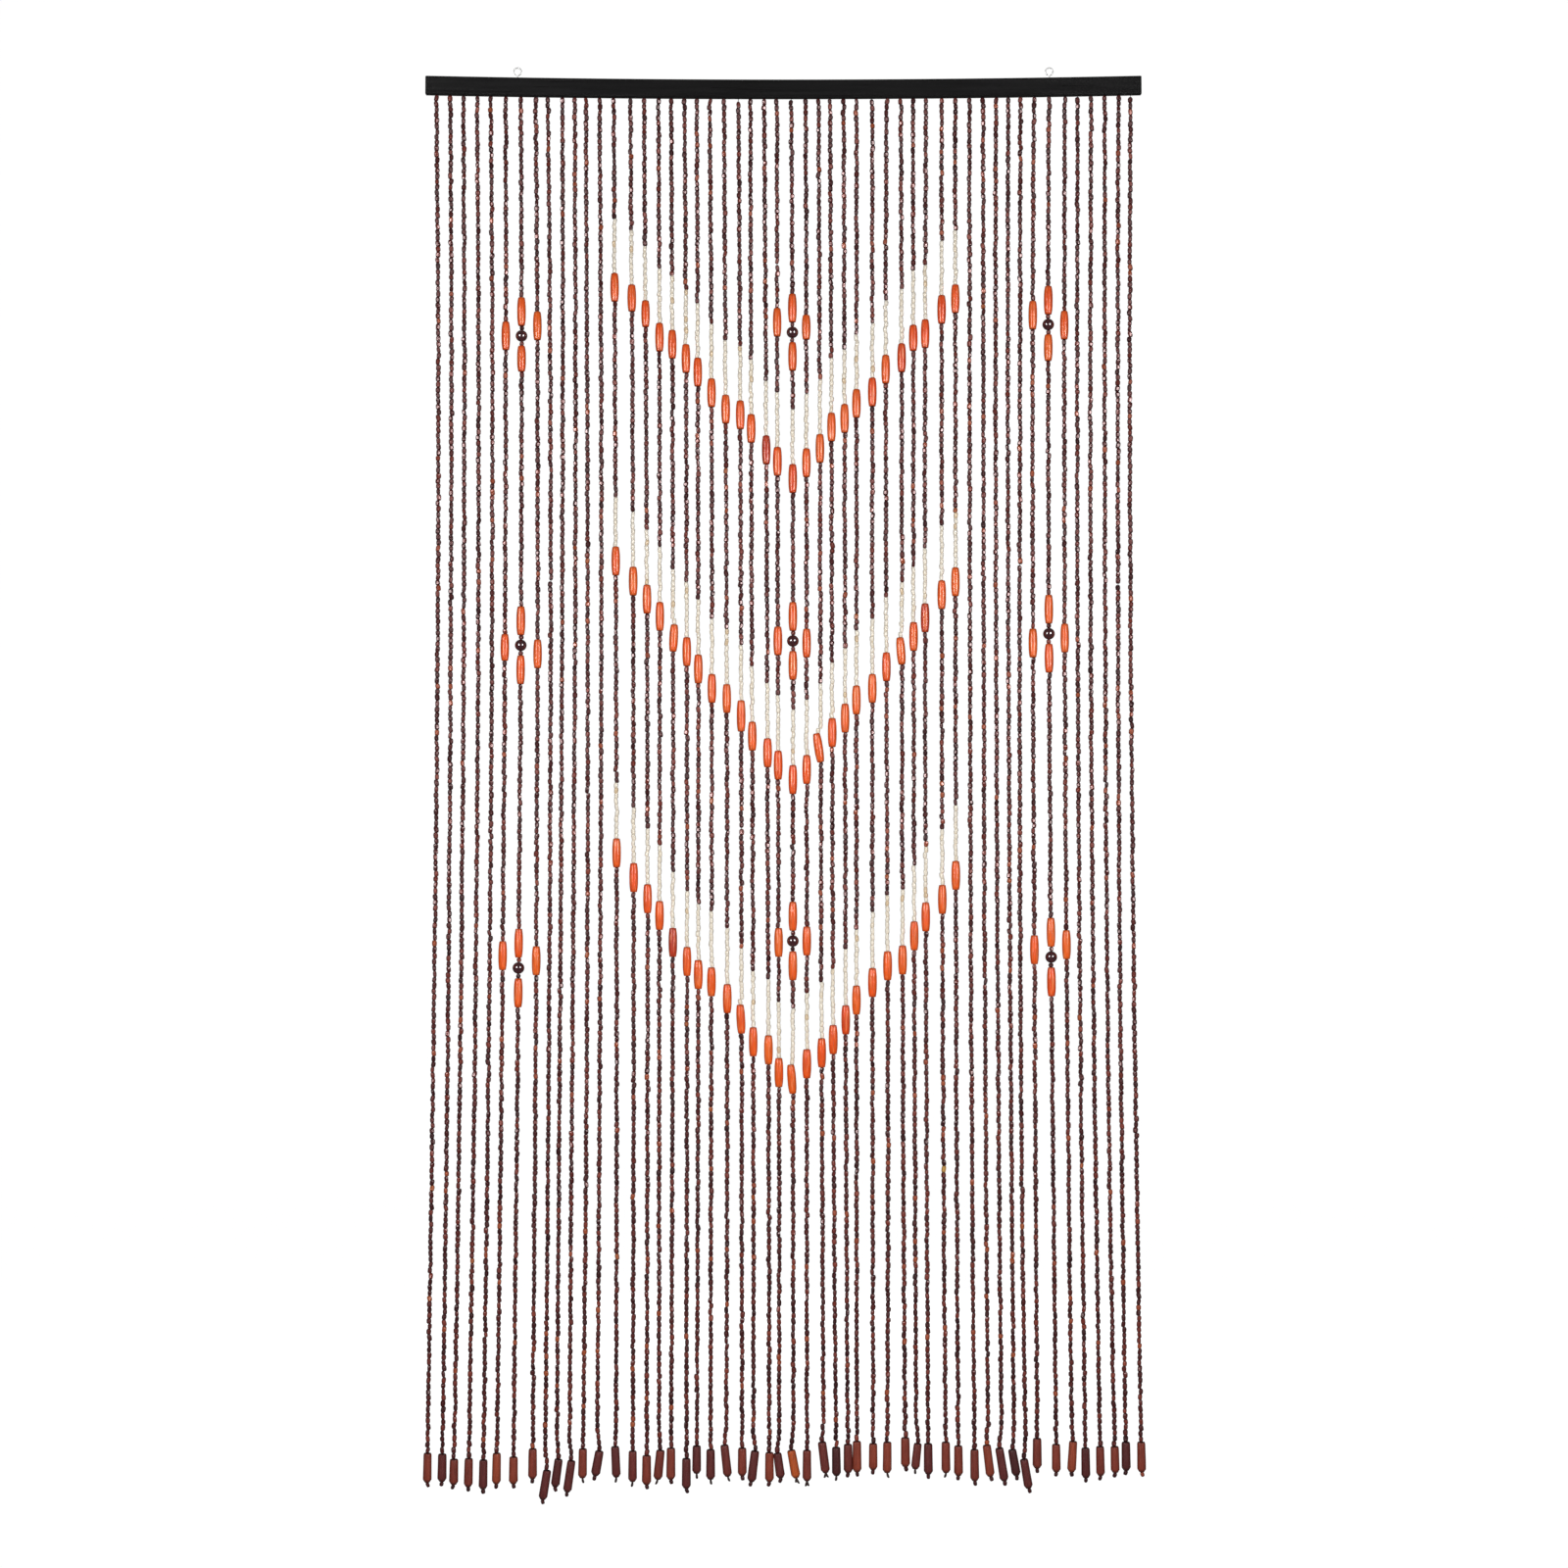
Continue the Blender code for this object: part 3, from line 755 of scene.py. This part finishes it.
def end_tube_finish():
    """Red-brown stain on turned wood: grain and pores along the tube, painted shade on the top
    rim and the foot's mouth.
    """
    material, tree, shader = new_finish("end_tube_stain")
    stain = ramp(
        tree,
        attribute(tree, "tone"),
        (0.0, (0.045, 0.013, 0.014)),
        (0.33, (0.125, 0.026, 0.024)),
        (0.66, (0.235, 0.043, 0.026)),
        (0.88, (0.300, 0.056, 0.027)),
        (1.0, (0.500, 0.095, 0.022)),
    )
    grain = noise(tree, 0.8 * MM, (1, 1, 26), 5.0, 0.68)
    shade = ramp(tree, grain, (0.30, 0.48), (0.5, 0.98), (0.72, 1.34))
    stain = blend(tree, 1.0, stain, shade, "MULTIPLY")
    pores = ramp(tree, noise(tree, 0.34 * MM, (1, 1, 9), 2.0), (0.62, 0.0), (0.74, 0.5))
    stain = blend(tree, pores, stain, (0.03, 0.008, 0.008))
    # Painted shade: the stain turns near black on the top rim and around the foot's mouth,
    # where neighbours meet and the bore recedes.
    rim = ramp(tree, attribute(tree, "end"), (0.05, 0.0), (1.0, 0.94))
    stain = blend(tree, rim, stain, (0.012, 0.004, 0.004))
    rough = ramp(tree, grain, (0.3, 0.52), (0.7, 0.40))
    normal = bump(tree, pores, 0.05 * MM, 1.0, bump(tree, grain, 0.07 * MM))
    join(tree, shader, Base_Color=stain, Roughness=rough, Normal=normal)
    return material


def thread_finish():
    """Dark waxed thread: two plies that wind round each other."""
    material, tree, shader = new_finish("twisted_thread")
    wave = add_node(
        tree,
        "ShaderNodeTexWave",
        {"Vector": add_node(tree, "ShaderNodeTexCoord").outputs["Object"], "Scale": 420.0},
        wave_type="BANDS",
        bands_direction="DIAGONAL",
    ).outputs["Fac"]
    colour = ramp(tree, wave, (0.2, (0.018, 0.010, 0.010)), (0.8, (0.060, 0.034, 0.030)))
    rough = ramp(tree, noise(tree, 1.0 * MM), (0.3, 0.55), (0.7, 0.75))
    join(tree, shader, Base_Color=colour, Roughness=rough, Normal=bump(tree, wave, 0.1 * MM))
    return material


def black_paint_finish(name):
    """Black satin paint on wood: the grain shows faintly along X."""
    material, tree, shader = new_finish(name)
    grain = noise(tree, 1.1 * MM, (60, 1, 1), 5.0, 0.6)
    brush = noise(tree, 4.0 * MM, (30, 1, 1), 3.0)
    paint = ramp(tree, grain, (0.25, (0.005, 0.0048, 0.005)), (0.75, (0.011, 0.0105, 0.011)))
    rough = ramp(tree, brush, (0.3, 0.26), (0.7, 0.38))
    normal = bump(tree, brush, 0.12 * MM, 0.6, bump(tree, grain, 0.06 * MM))
    join(tree, shader, Base_Color=paint, Roughness=rough, Normal=normal)
    shader.inputs["Specular IOR Level"].default_value = 0.22
    return material


def steel_finish():
    """Plated wire: bright, with fine drawn lines and faint dull spots."""
    material, tree, shader = new_finish("plated_wire")
    drawn = noise(tree, 0.25 * MM, (1, 1, 12), 4.0)
    spots = noise(tree, 1.3 * MM, (1, 1, 1), 3.0)
    colour = ramp(tree, spots, (0.3, (0.74, 0.74, 0.73)), (0.7, (0.90, 0.90, 0.89)))
    rough = ramp(tree, drawn, (0.3, 0.34), (0.7, 0.52))
    join(tree, shader, Base_Color=colour, Roughness=rough, Normal=bump(tree, drawn, 0.02 * MM))
    shader.inputs["Metallic"].default_value = 0.25
    return material


# Strands

def bead_rings(middles, lengths, offsets, slopes, widths, shares):
    """Small beads: seven-sided barrels, narrower at both ends, round their middles.

    The profile is widest a little above the middle, so that a polished bead has facets
    that face both the upper and the lower part of the light. Offsets and slopes set each
    bead off the strand's line.
    """
    half = lengths[:, None] / 2 * BEAD_OVERLAP
    tilt = np.concatenate([slopes, np.ones((len(slopes), 1))], -1)
    centre = middles + offsets
    feet = centre - tilt * half
    heads = centre + tilt * half
    wide = widths[:, None] * shares
    return turned_solids(feet, heads, BEAD_ALONG, wide, BEAD_SIDES, False, BEAD_WOBBLE)


def strung_beads():
    """Every small bead: strand number, kind, middle's drop, length and middle's point."""
    found = {"dark": [], "cream": []}
    for row in STRANDS:
        for kind, top, bottom in strand_stretches(row):
            if kind in found:
                pitch = DARK_PITCH if kind == "dark" else CREAM_PITCH
                middles, lengths = bead_stack(row, top, bottom, pitch)
                number = np.full(len(middles), row[0])
                place = strand_points(row, middles)
                found[kind].append((number, middles, lengths, place))
    return {
        kind: [np.concatenate(column) for column in zip(*rows)]
        for kind, rows in found.items()
    }


def build_small_beads(strung, finish):
    """The dark beads in six pieces, the polished ones with facets; the cream in one."""
    number, drop, lengths, place = strung["dark"]
    count = len(number)
    offsets = np.stack(
        [
            np.clip(RANDOM.normal(0, 0.42, count), -0.9, 0.9) * MM,
            np.clip(RANDOM.normal(0, 0.35, count), -0.7, 0.7) * MM,
            np.zeros(count),
        ],
        -1,
    )
    slopes = np.clip(RANDOM.normal(0, 0.13, (count, 2)), -0.3, 0.3)
    widths = DARK_WIDTH * np.clip(RANDOM.normal(1.0, 0.075, count), 0.82, 1.12)
    tones = np.clip(RANDOM.beta(2.0, 2.2, count) * 0.86, 0, 0.84)
    lighter = RANDOM.uniform(0, 1, count) < LIGHTER
    tones[lighter] = RANDOM.uniform(0.86, 0.93, lighter.sum())
    tan = (number == TAN_BEAD[0]) & (np.abs(drop - TAN_BEAD[1] * MM) < DARK_PITCH / 2)
    tones[tan] = 1.0
    polish = np.where(
        RANDOM.uniform(0, 1, count) < POLISHED,
        RANDOM.uniform(0.75, 1.0, count),
        RANDOM.uniform(0.0, 0.45, count),
    )
    for name, first, last, node in BEAD_PIECES:
        here = (number >= first) & (number <= last)
        given = (column[here] for column in (place, lengths, offsets, slopes, widths))
        rings = bead_rings(*given, DARK_SHARES)
        values = {
            "tone": tones[here][:, None, None],
            "polish": polish[here][:, None, None],
            "end": BEAD_ENDS,
        }
        cut = polish[here] > 0.5
        new_piece(name, [rings], [values], finish, [node], cut)

    _, _, lengths, place = strung["cream"]
    count = len(lengths)
    offsets = np.clip(RANDOM.normal(0, 0.40, (count, 3)), -0.8, 0.8) * MM
    offsets[:, 2] = 0
    slopes = np.clip(RANDOM.normal(0, 0.11, (count, 2)), -0.25, 0.25)
    widths = CREAM_WIDTH * np.clip(RANDOM.normal(1.0, 0.055, count), 0.88, 1.10)
    tones = RANDOM.beta(1.5, 2.6, count) * 0.85
    tones[RANDOM.uniform(0, 1, count) < 0.04] = 0.96
    rings = bead_rings(place, lengths, offsets, slopes, widths, CREAM_SHARES)
    values = {"tone": tones[:, None, None], "end": BEAD_ENDS}
    nodes = ["strands_middle"]
    new_piece("cream_beads", [rings], [values], cream_bead_finish(), nodes)


def strung_features(kind):
    """Every tube or round bead of a kind: strand number, and its foot and head points."""
    numbers, feet, heads = [], [], []
    for row in STRANDS:
        for found, top, bottom in strand_stretches(row):
            if found == kind:
                foot, head = strand_points(row, [bottom - GAP / 2, top + GAP / 2])
                numbers.append(row[0])
                feet.append(foot)
                heads.append(head)
    return np.array(numbers), np.array(feet), np.array(heads)


def build_orange_tubes():
    """The orange tubes: barrels with a bore.

    Width: the end's, plus the rest times one minus a power of the share of the way out
    from the middle; the two end edges are rounded.
    """
    number, feet, heads = strung_features("tube")
    out = np.array([-0.955, -0.86, -0.68, -0.42, 0.0, 0.42, 0.68, 0.86, 0.955])
    barrel = TUBE_END + (TUBE_BELLY - TUBE_END) * (1 - np.abs(out) ** TUBE_POWER)
    face = TUBE_END - 1.5 * MM
    widths = np.concatenate(
        [[HOLE, face, TUBE_END - 0.3 * MM], barrel, [TUBE_END - 0.3 * MM, face, HOLE]]
    )
    along = np.concatenate(
        [[0.0, 0.0, 0.010], (out + 1) / 2, [0.990, 1.0, 1.0]]
    )
    jitter = RANDOM.normal(1.0, 0.012, (len(number), 1))
    rings = turned_solids(feet, heads, along, widths * jitter, TUBE_SIDES, True, 0.004)
    tone = np.clip(RANDOM.normal(0.13, 0.09, len(number)), 0, 0.3)
    middle = -(feet + heads)[:, 2] / 2
    for strand, drop, share in REDDER:
        tone[(number == strand) & (np.abs(middle - drop * MM) < 5 * MM)] = share
    # The end value carries painted shade: full on the end faces, growing towards the ends.
    reach = np.abs(along * 2 - 1)
    edge = np.where(widths <= face + 0.01 * MM, 1.0, reach * 0.9)
    edge = np.where(reach > 0.97, np.maximum(edge, 0.93), edge)
    values = {"tone": tone[:, None, None], "end": edge[None, :, None]}
    finish = orange_tube_finish()
    new_piece("orange_tubes", [rings], [values], finish, STRAND_NODES)


def build_round_beads():
    """The round beads: spheres with a bore, from pole edge to pole edge by latitude."""
    _, feet, heads = strung_features("round")
    limit = math.acos(HOLE / ROUND_BEAD)
    latitude = np.linspace(-limit, limit, ROUND_RINGS)
    widths = np.concatenate([[HOLE * 0.9], ROUND_BEAD * np.cos(latitude), [HOLE * 0.9]])
    height = np.sin(latitude) / 2 + 0.5
    along = np.concatenate([[height[0] + 0.02], height, [height[-1] - 0.02]])
    rings = turned_solids(feet, heads, along, widths, ROUND_SIDES, True)
    # The end value carries painted shade towards the poles.
    edge = np.clip(np.abs(along * 2 - 1), 0, 1)
    values = {"end": edge[None, :, None]}
    finish = round_bead_finish()
    new_piece("round_beads", [rings], [values], finish, STRAND_NODES)


def build_end_tubes():
    """The end tubes: nearly straight, a rounded top edge, a tapered foot and a bore."""
    number, feet, heads = strung_features("end")
    length = np.linalg.norm(heads - feet, axis=-1)[:, None]
    profile = (
        # share of the length, height above that, width, how dark with painted shade
        (0, 0.0, HOLE, 1.0),
        (0, 0.0, END_MOUTH - 1.0 * MM, 0.9),
        (0, 0.4 * MM, END_MOUTH, 0.75),
        (0, END_TAPER - 0.3 * MM, END_FOOT - 0.3 * MM, 0.15),
        (0, END_TAPER + 0.3 * MM, END_FOOT, 0.0),
        (0.4, 0.0, (END_FOOT * 2 + END_NECK) / 3, 0.0),
        (0.7, 0.0, (END_FOOT + END_NECK * 2) / 3, 0.0),
        (1, -END_SHOULDER, END_NECK, 0.0),
        (1, -END_SHOULDER * 0.45, END_NECK - 0.6 * MM, 0.2),
        (1, -0.5 * MM, END_TOP, 0.7),
        (1, 0.0, END_TOP - 1.4 * MM, 1.0),
        (1, 0.0, HOLE, 1.0),
    )
    share, height, widths, edge = np.array(profile).T
    along = share + height / length
    jitter = RANDOM.normal(1.02, 0.012, (len(number), 1))
    rings = turned_solids(feet, heads, along, widths * jitter, END_SIDES, True, 0.012)
    stain = np.array([line[1] for line in END_TUBES]) / 9
    values = {"tone": stain[:, None, None], "end": edge[None, :, None]}
    new_piece("end_tubes", [rings], [values], end_tube_finish(), STRAND_NODES)


def tube_along(points, width):
    """Thin round tubes along paths that run upwards: a level ring at each point."""
    angle = np.linspace(0, 2 * np.pi, THREAD_SIDES, endpoint=False)
    ring = np.stack([np.cos(angle), np.sin(angle), np.zeros(THREAD_SIDES)], -1)
    return points[:, :, None] + ring * np.reshape(width, (1, -1, 1, 1)) / 2, False


def build_stoppers(finish):
    """The stopper beads below the end tubes: dark, short and set a little aslant."""
    rows = {row[0]: row for row in STRANDS}
    beads = [line[0] for line in END_TUBES if line[2] == "bead"]
    count = len(beads)
    drops = np.array([rows[number][5] * MM for number in beads])
    drops += STOPPER_TOP + STOPPER_LENGTH / 2
    place = np.array([strand_points(rows[n], [d])[0] for n, d in zip(beads, drops)])
    slopes = np.stack([RANDOM.uniform(-0.5, 0.5, count), RANDOM.uniform(-0.2, 0.2, count)], -1)
    offsets = np.zeros((count, 3))
    offsets[:, 0] = -slopes[:, 0] * 2.2 * MM
    lengths = STOPPER_LENGTH * RANDOM.uniform(0.92, 1.05, count)
    widths = STOPPER_WIDTH * RANDOM.uniform(0.9, 1.06, count)
    rings = bead_rings(place, lengths, offsets, slopes, widths, DARK_SHARES)
    tones = RANDOM.uniform(0.0, 0.22, count)
    tones[-1] = 0.85
    # The end value carries the finish's painted shade at the bead ends, here weaker.
    values = {"tone": tones[:, None, None], "polish": 0.3, "end": BEAD_ENDS * 0.6}
    new_piece("stopper_beads", [rings], [values], finish, STRAND_NODES)


def build_threads():
    """One thread a strand, from its closing strip to its foot, and the bare tails.

    The thread follows the strand's line. A tail curls aside by the square of the way
    down it, and two splayed ends do so to opposite sides. Stopper beads have no tail.
    """
    step = np.linspace(1, 0, THREAD_RINGS)
    share = np.linspace(1, 0, len(TAIL_TAPER))
    lines = []
    tails = []
    below = {line[0]: line[2] for line in END_TUBES}
    for row in STRANDS:
        root = root_drop(row) - STRIP_HEIGHT / 2
        foot = row[5] * MM
        lines.append(strand_points(row, root + (foot + 3 * MM - root) * step))
        kind = below[row[0]]
        if kind == "bead":
            continue
        sides = (-1, 1) if kind == "ends" else (RANDOM.choice([-1, 1]),)
        for side in sides:
            reach = 3 * MM + (TAIL_LENGTH - 0.6 * MM) * RANDOM.uniform(0.8, 1.0)
            tail = strand_points(row, foot - 3 * MM + reach * share)
            curl = RANDOM.uniform(0.4, 2.2) if kind != "ends" else RANDOM.uniform(1.6, 2.6)
            tail[:, 0] += side * curl * MM * share**2
            tail[:, 1] += RANDOM.uniform(-1, 1) * MM * share**2
            tails.append(tail)
    blocks = [
        tube_along(np.array(lines), THREAD_WIDTH),
        tube_along(np.array(tails), TAIL_WIDTH * TAIL_TAPER),
    ]
    new_piece("threads", blocks, [{}, {}], thread_finish(), STRAND_NODES)


def build_closing_strips():
    """Three strips that close the groove: an eased oblong section carried along X.

    Each section stands at the height of the batten's parabola.
    """
    tops = {row[0]: row[1] * MM for row in STRANDS}
    limit = BATTEN_LENGTH / 2 - GROOVE_END - GAP
    wide = STRIP_WIDTH / 2
    high = STRIP_HEIGHT
    edge = STRIP_EDGE
    section = np.array(
        [
            (-wide + edge, 0), (wide - edge, 0), (wide, edge), (wide, high - edge),
            (wide - edge, high), (-wide + edge, high), (-wide, high - edge), (-wide, edge),
        ]
    )
    rings = []
    for first, last in STRIP_GROUPS:
        low = -limit if first == 1 else (tops[first - 1] + tops[first]) / 2 + GAP / 2
        far = limit if last == len(STRANDS) else (tops[last] + tops[last + 1]) / 2 - GAP / 2
        x = np.linspace(low, far, STRIP_SECTIONS)
        base = rise(x) - BATTEN_HEIGHT / 2
        across = np.broadcast_to(x[:, None], (STRIP_SECTIONS, len(section)))
        deep = np.broadcast_to(MID_DEPTH + section[:, 0], across.shape)
        rings.append(np.stack([across, deep, base[:, None] + section[:, 1]], -1))
    piece = new_piece(
        "closing_strips",
        [(np.array(rings), False)],
        [{}],
        black_paint_finish("strip_paint"),
        STRAND_NODES,
    )
    piece.data.polygons.foreach_set("use_smooth", np.zeros(len(piece.data.polygons), bool))


def build_screw_eye(name, x, node, material):
    """A screw eye: round wire carried along one line in the XZ plane.

    The line climbs the screw, bends off to the right on a cubic that starts upright
    and meets the ring's circle along its tangent, follows the circle round, and runs
    straight down the other side to just short of the neck. On the screw the half width
    falls and climbs as a saw of height less a turn's share of the angle; at both ends
    it tapers.
    """
    foot = BATTEN_HEIGHT / 2 + rise(x)
    radius = EYE_RING / 2
    centre = foot + EYE_CENTRE
    slant = math.asin(radius / (EYE_CENTRE - EYE_POINT))
    screw = np.linspace(foot - EYE_SCREW, foot, SCREW_RINGS)
    neck = np.linspace(foot, foot + EYE_POINT * 0.55, NECK_RINGS + 1)[1:]
    meet = np.array([radius * math.cos(slant), centre - radius * math.sin(slant)])
    leave = np.array([0.0, neck[-1]])
    t = np.linspace(0, 1, 12)[1:, None]
    out = np.array([0.0, EYE_PULL])
    into = np.array([math.sin(slant), math.cos(slant)]) * EYE_PULL
    bend = (
        (2 * t**3 - 3 * t**2 + 1) * leave
        + (t**3 - 2 * t**2 + t) * out
        + (3 * t**2 - 2 * t**3) * meet
        + (t**3 - t**2) * into
    )
    angle = np.linspace(-slant, math.pi + slant, 49)[1:]
    loop = np.stack([radius * np.cos(angle), centre + radius * np.sin(angle)], -1)
    last = np.array([-EYE_WIRE, foot + EYE_POINT + EYE_WIRE / math.tan(slant)])
    closing = loop[-1] + (last - loop[-1]) * np.linspace(0, 1, 6)[1:, None]
    upright = np.stack([np.zeros(SCREW_RINGS + NECK_RINGS), np.concatenate([screw, neck])], -1)
    line = np.concatenate([upright, bend, loop, closing])
    tangent = np.gradient(line, axis=0)
    tangent /= np.linalg.norm(tangent, axis=-1, keepdims=True)
    normal = np.stack([tangent[:, 1], -tangent[:, 0]], -1)
    phi = np.linspace(0, 2 * np.pi, WIRE_SIDES, endpoint=False)
    half = np.full((len(line), WIRE_SIDES), EYE_WIRE / 2)
    depth = foot - line[:, 1]
    turn = (depth[:, None] / SCREW_PITCH + phi / (2 * np.pi)) % 1.0
    cut = np.minimum(turn / 0.25, (1 - turn) / 0.25).clip(0, 1)
    low = (np.arange(len(line)) < SCREW_RINGS)[:, None]
    on_screw = low & (depth > 1.2 * MM)[:, None]
    half = np.where(on_screw, half * (0.72 + 0.28 * (1 - cut)), half)
    tip = np.clip((line[:, 1] - (foot - EYE_SCREW)) / SCREW_TIP, 0.12, 1.0)
    half = half * np.where(low, tip[:, None], 1.0)
    half[-1] *= 0.75
    ring = np.zeros((len(line), WIRE_SIDES, 3))
    ring[..., 0] = x + line[:, None, 0] + half * np.cos(phi) * normal[:, None, 0]
    ring[..., 1] = MID_DEPTH + half * np.sin(phi)
    ring[..., 2] = line[:, None, 1] + half * np.cos(phi) * normal[:, None, 1]
    new_piece(name, [(ring[None], False)], [{}], material, [node])


# Stage, light and camera

def build_stage():
    """A pale seamless floor that turns up into a round wall.

    A half section of floor, quarter circle and wall is carried round the middle.
    """
    floor, radius, bend, wall, sides = -2.06, 9.0, 3.0, 9.0, 96
    quarter = np.linspace(0, np.pi / 2, 17)
    out = np.concatenate([[0.01, 3.0], radius - bend + bend * np.sin(quarter), [radius]])
    high = np.concatenate([[0.0, 0.0], bend - bend * np.cos(quarter), [wall]]) + floor
    turn = np.linspace(0, 2 * np.pi, sides, endpoint=False)
    points = np.stack(
        [
            out[:, None] * np.cos(turn),
            out[:, None] * np.sin(turn),
            np.broadcast_to(high[:, None], (len(out), sides)),
        ],
        -1,
    )
    quads, ends = ring_faces(1, len(out), sides, False)
    mesh = bpy.data.meshes.new("studio_floor")
    faces = quads[:, ::-1].tolist() + [ends[0][::-1].tolist()]
    mesh.from_pydata(points.reshape(-1, 3).tolist(), [], faces)
    mesh.polygons.foreach_set("use_smooth", np.ones(len(mesh.polygons), bool))
    material, tree, shader = new_finish("pale_studio")
    shader.inputs["Base Color"].default_value = (0.12, 0.12, 0.12, 1)
    shader.inputs["Roughness"].default_value = 1.0
    shader.inputs["Specular IOR Level"].default_value = 0.0
    shader.inputs["Emission Color"].default_value = (1.0, 1.0, 1.0, 1)
    shader.inputs["Emission Strength"].default_value = 0.99
    mesh.materials.append(material)
    floor_piece = bpy.data.objects.new("studio_floor", mesh)
    bpy.context.scene.collection.objects.link(floor_piece)
    floor_piece.visible_diffuse = False
    floor_piece.visible_glossy = False
    floor_piece.visible_shadow = False


def add_softbox(name, azimuth, distance, height, size, power, aim):
    """A soft rectangular light at an azimuth from the curtain's front, aimed at it."""
    light = bpy.data.lights.new(name, "AREA")
    light.shape = "RECTANGLE"
    light.size, light.size_y = size
    light.energy = power
    holder = bpy.data.objects.new(name, light)
    turn = math.radians(azimuth)
    place = Vector((distance * math.sin(turn), -distance * math.cos(turn), height))
    holder.location = place
    holder.rotation_euler = (Vector((0, 0, aim)) - place).to_track_quat("-Z", "Y").to_euler()
    holder.visible_camera = False
    bpy.context.scene.collection.objects.link(holder)
    return holder


def build_light():
    """Two softboxes for the gloss, and soft fill from the front and from behind."""
    for name, azimuth in (("softbox_left", -37), ("softbox_right", 37)):
        box = add_softbox(name, azimuth, 2.5, -0.40, (0.7, 1.2), 11.0, -0.50)
        box.data.spread = math.radians(70)
        box.visible_diffuse = False
    for name, azimuth, power in (("front_fill", 0, 96), ("back_fill", 180, 60)):
        fill = add_softbox(name, azimuth, 3.4, -1.3, (1.6, 1.6), power, -1.1)
        fill.visible_glossy = False
    world = bpy.data.worlds.new("studio_air")
    world.use_nodes = True
    air = world.node_tree.nodes["Background"]
    air.inputs["Color"].default_value = (1.0, 1.0, 1.0, 1.0)
    air.inputs["Strength"].default_value = 0.10
    bpy.context.scene.world = world
    bpy.context.scene.view_settings.view_transform = "Standard"


def build_camera():
    """The camera stands four metres off, below the middle, and looks slightly up."""
    camera = bpy.data.cameras.new("photo_camera")
    camera.sensor_width = 36.0
    camera.lens = 66.76
    holder = bpy.data.objects.new("photo_camera", camera)
    holder.location = (0.0008, MID_DEPTH - 4.0, -1.2026)
    holder.rotation_euler = (math.radians(93.3), 0.0, 0.0)
    bpy.context.scene.collection.objects.link(holder)
    bpy.context.scene.camera = holder


def dress_batten():
    """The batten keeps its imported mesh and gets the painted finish."""
    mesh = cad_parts["batten"].data
    mesh.materials.clear()
    mesh.materials.append(black_paint_finish("batten_paint"))


build_camera()
build_light()
build_stage()
dress_batten()
stained = dark_bead_finish()
build_small_beads(strung_beads(), stained)
build_orange_tubes()
build_round_beads()
build_end_tubes()
build_stoppers(stained)
build_threads()
build_closing_strips()
plated = steel_finish()
build_screw_eye("screw_eye_left", -EYE_OFFSET, "eye_left", plated)
build_screw_eye("screw_eye_right", EYE_OFFSET, "eye_right", plated)
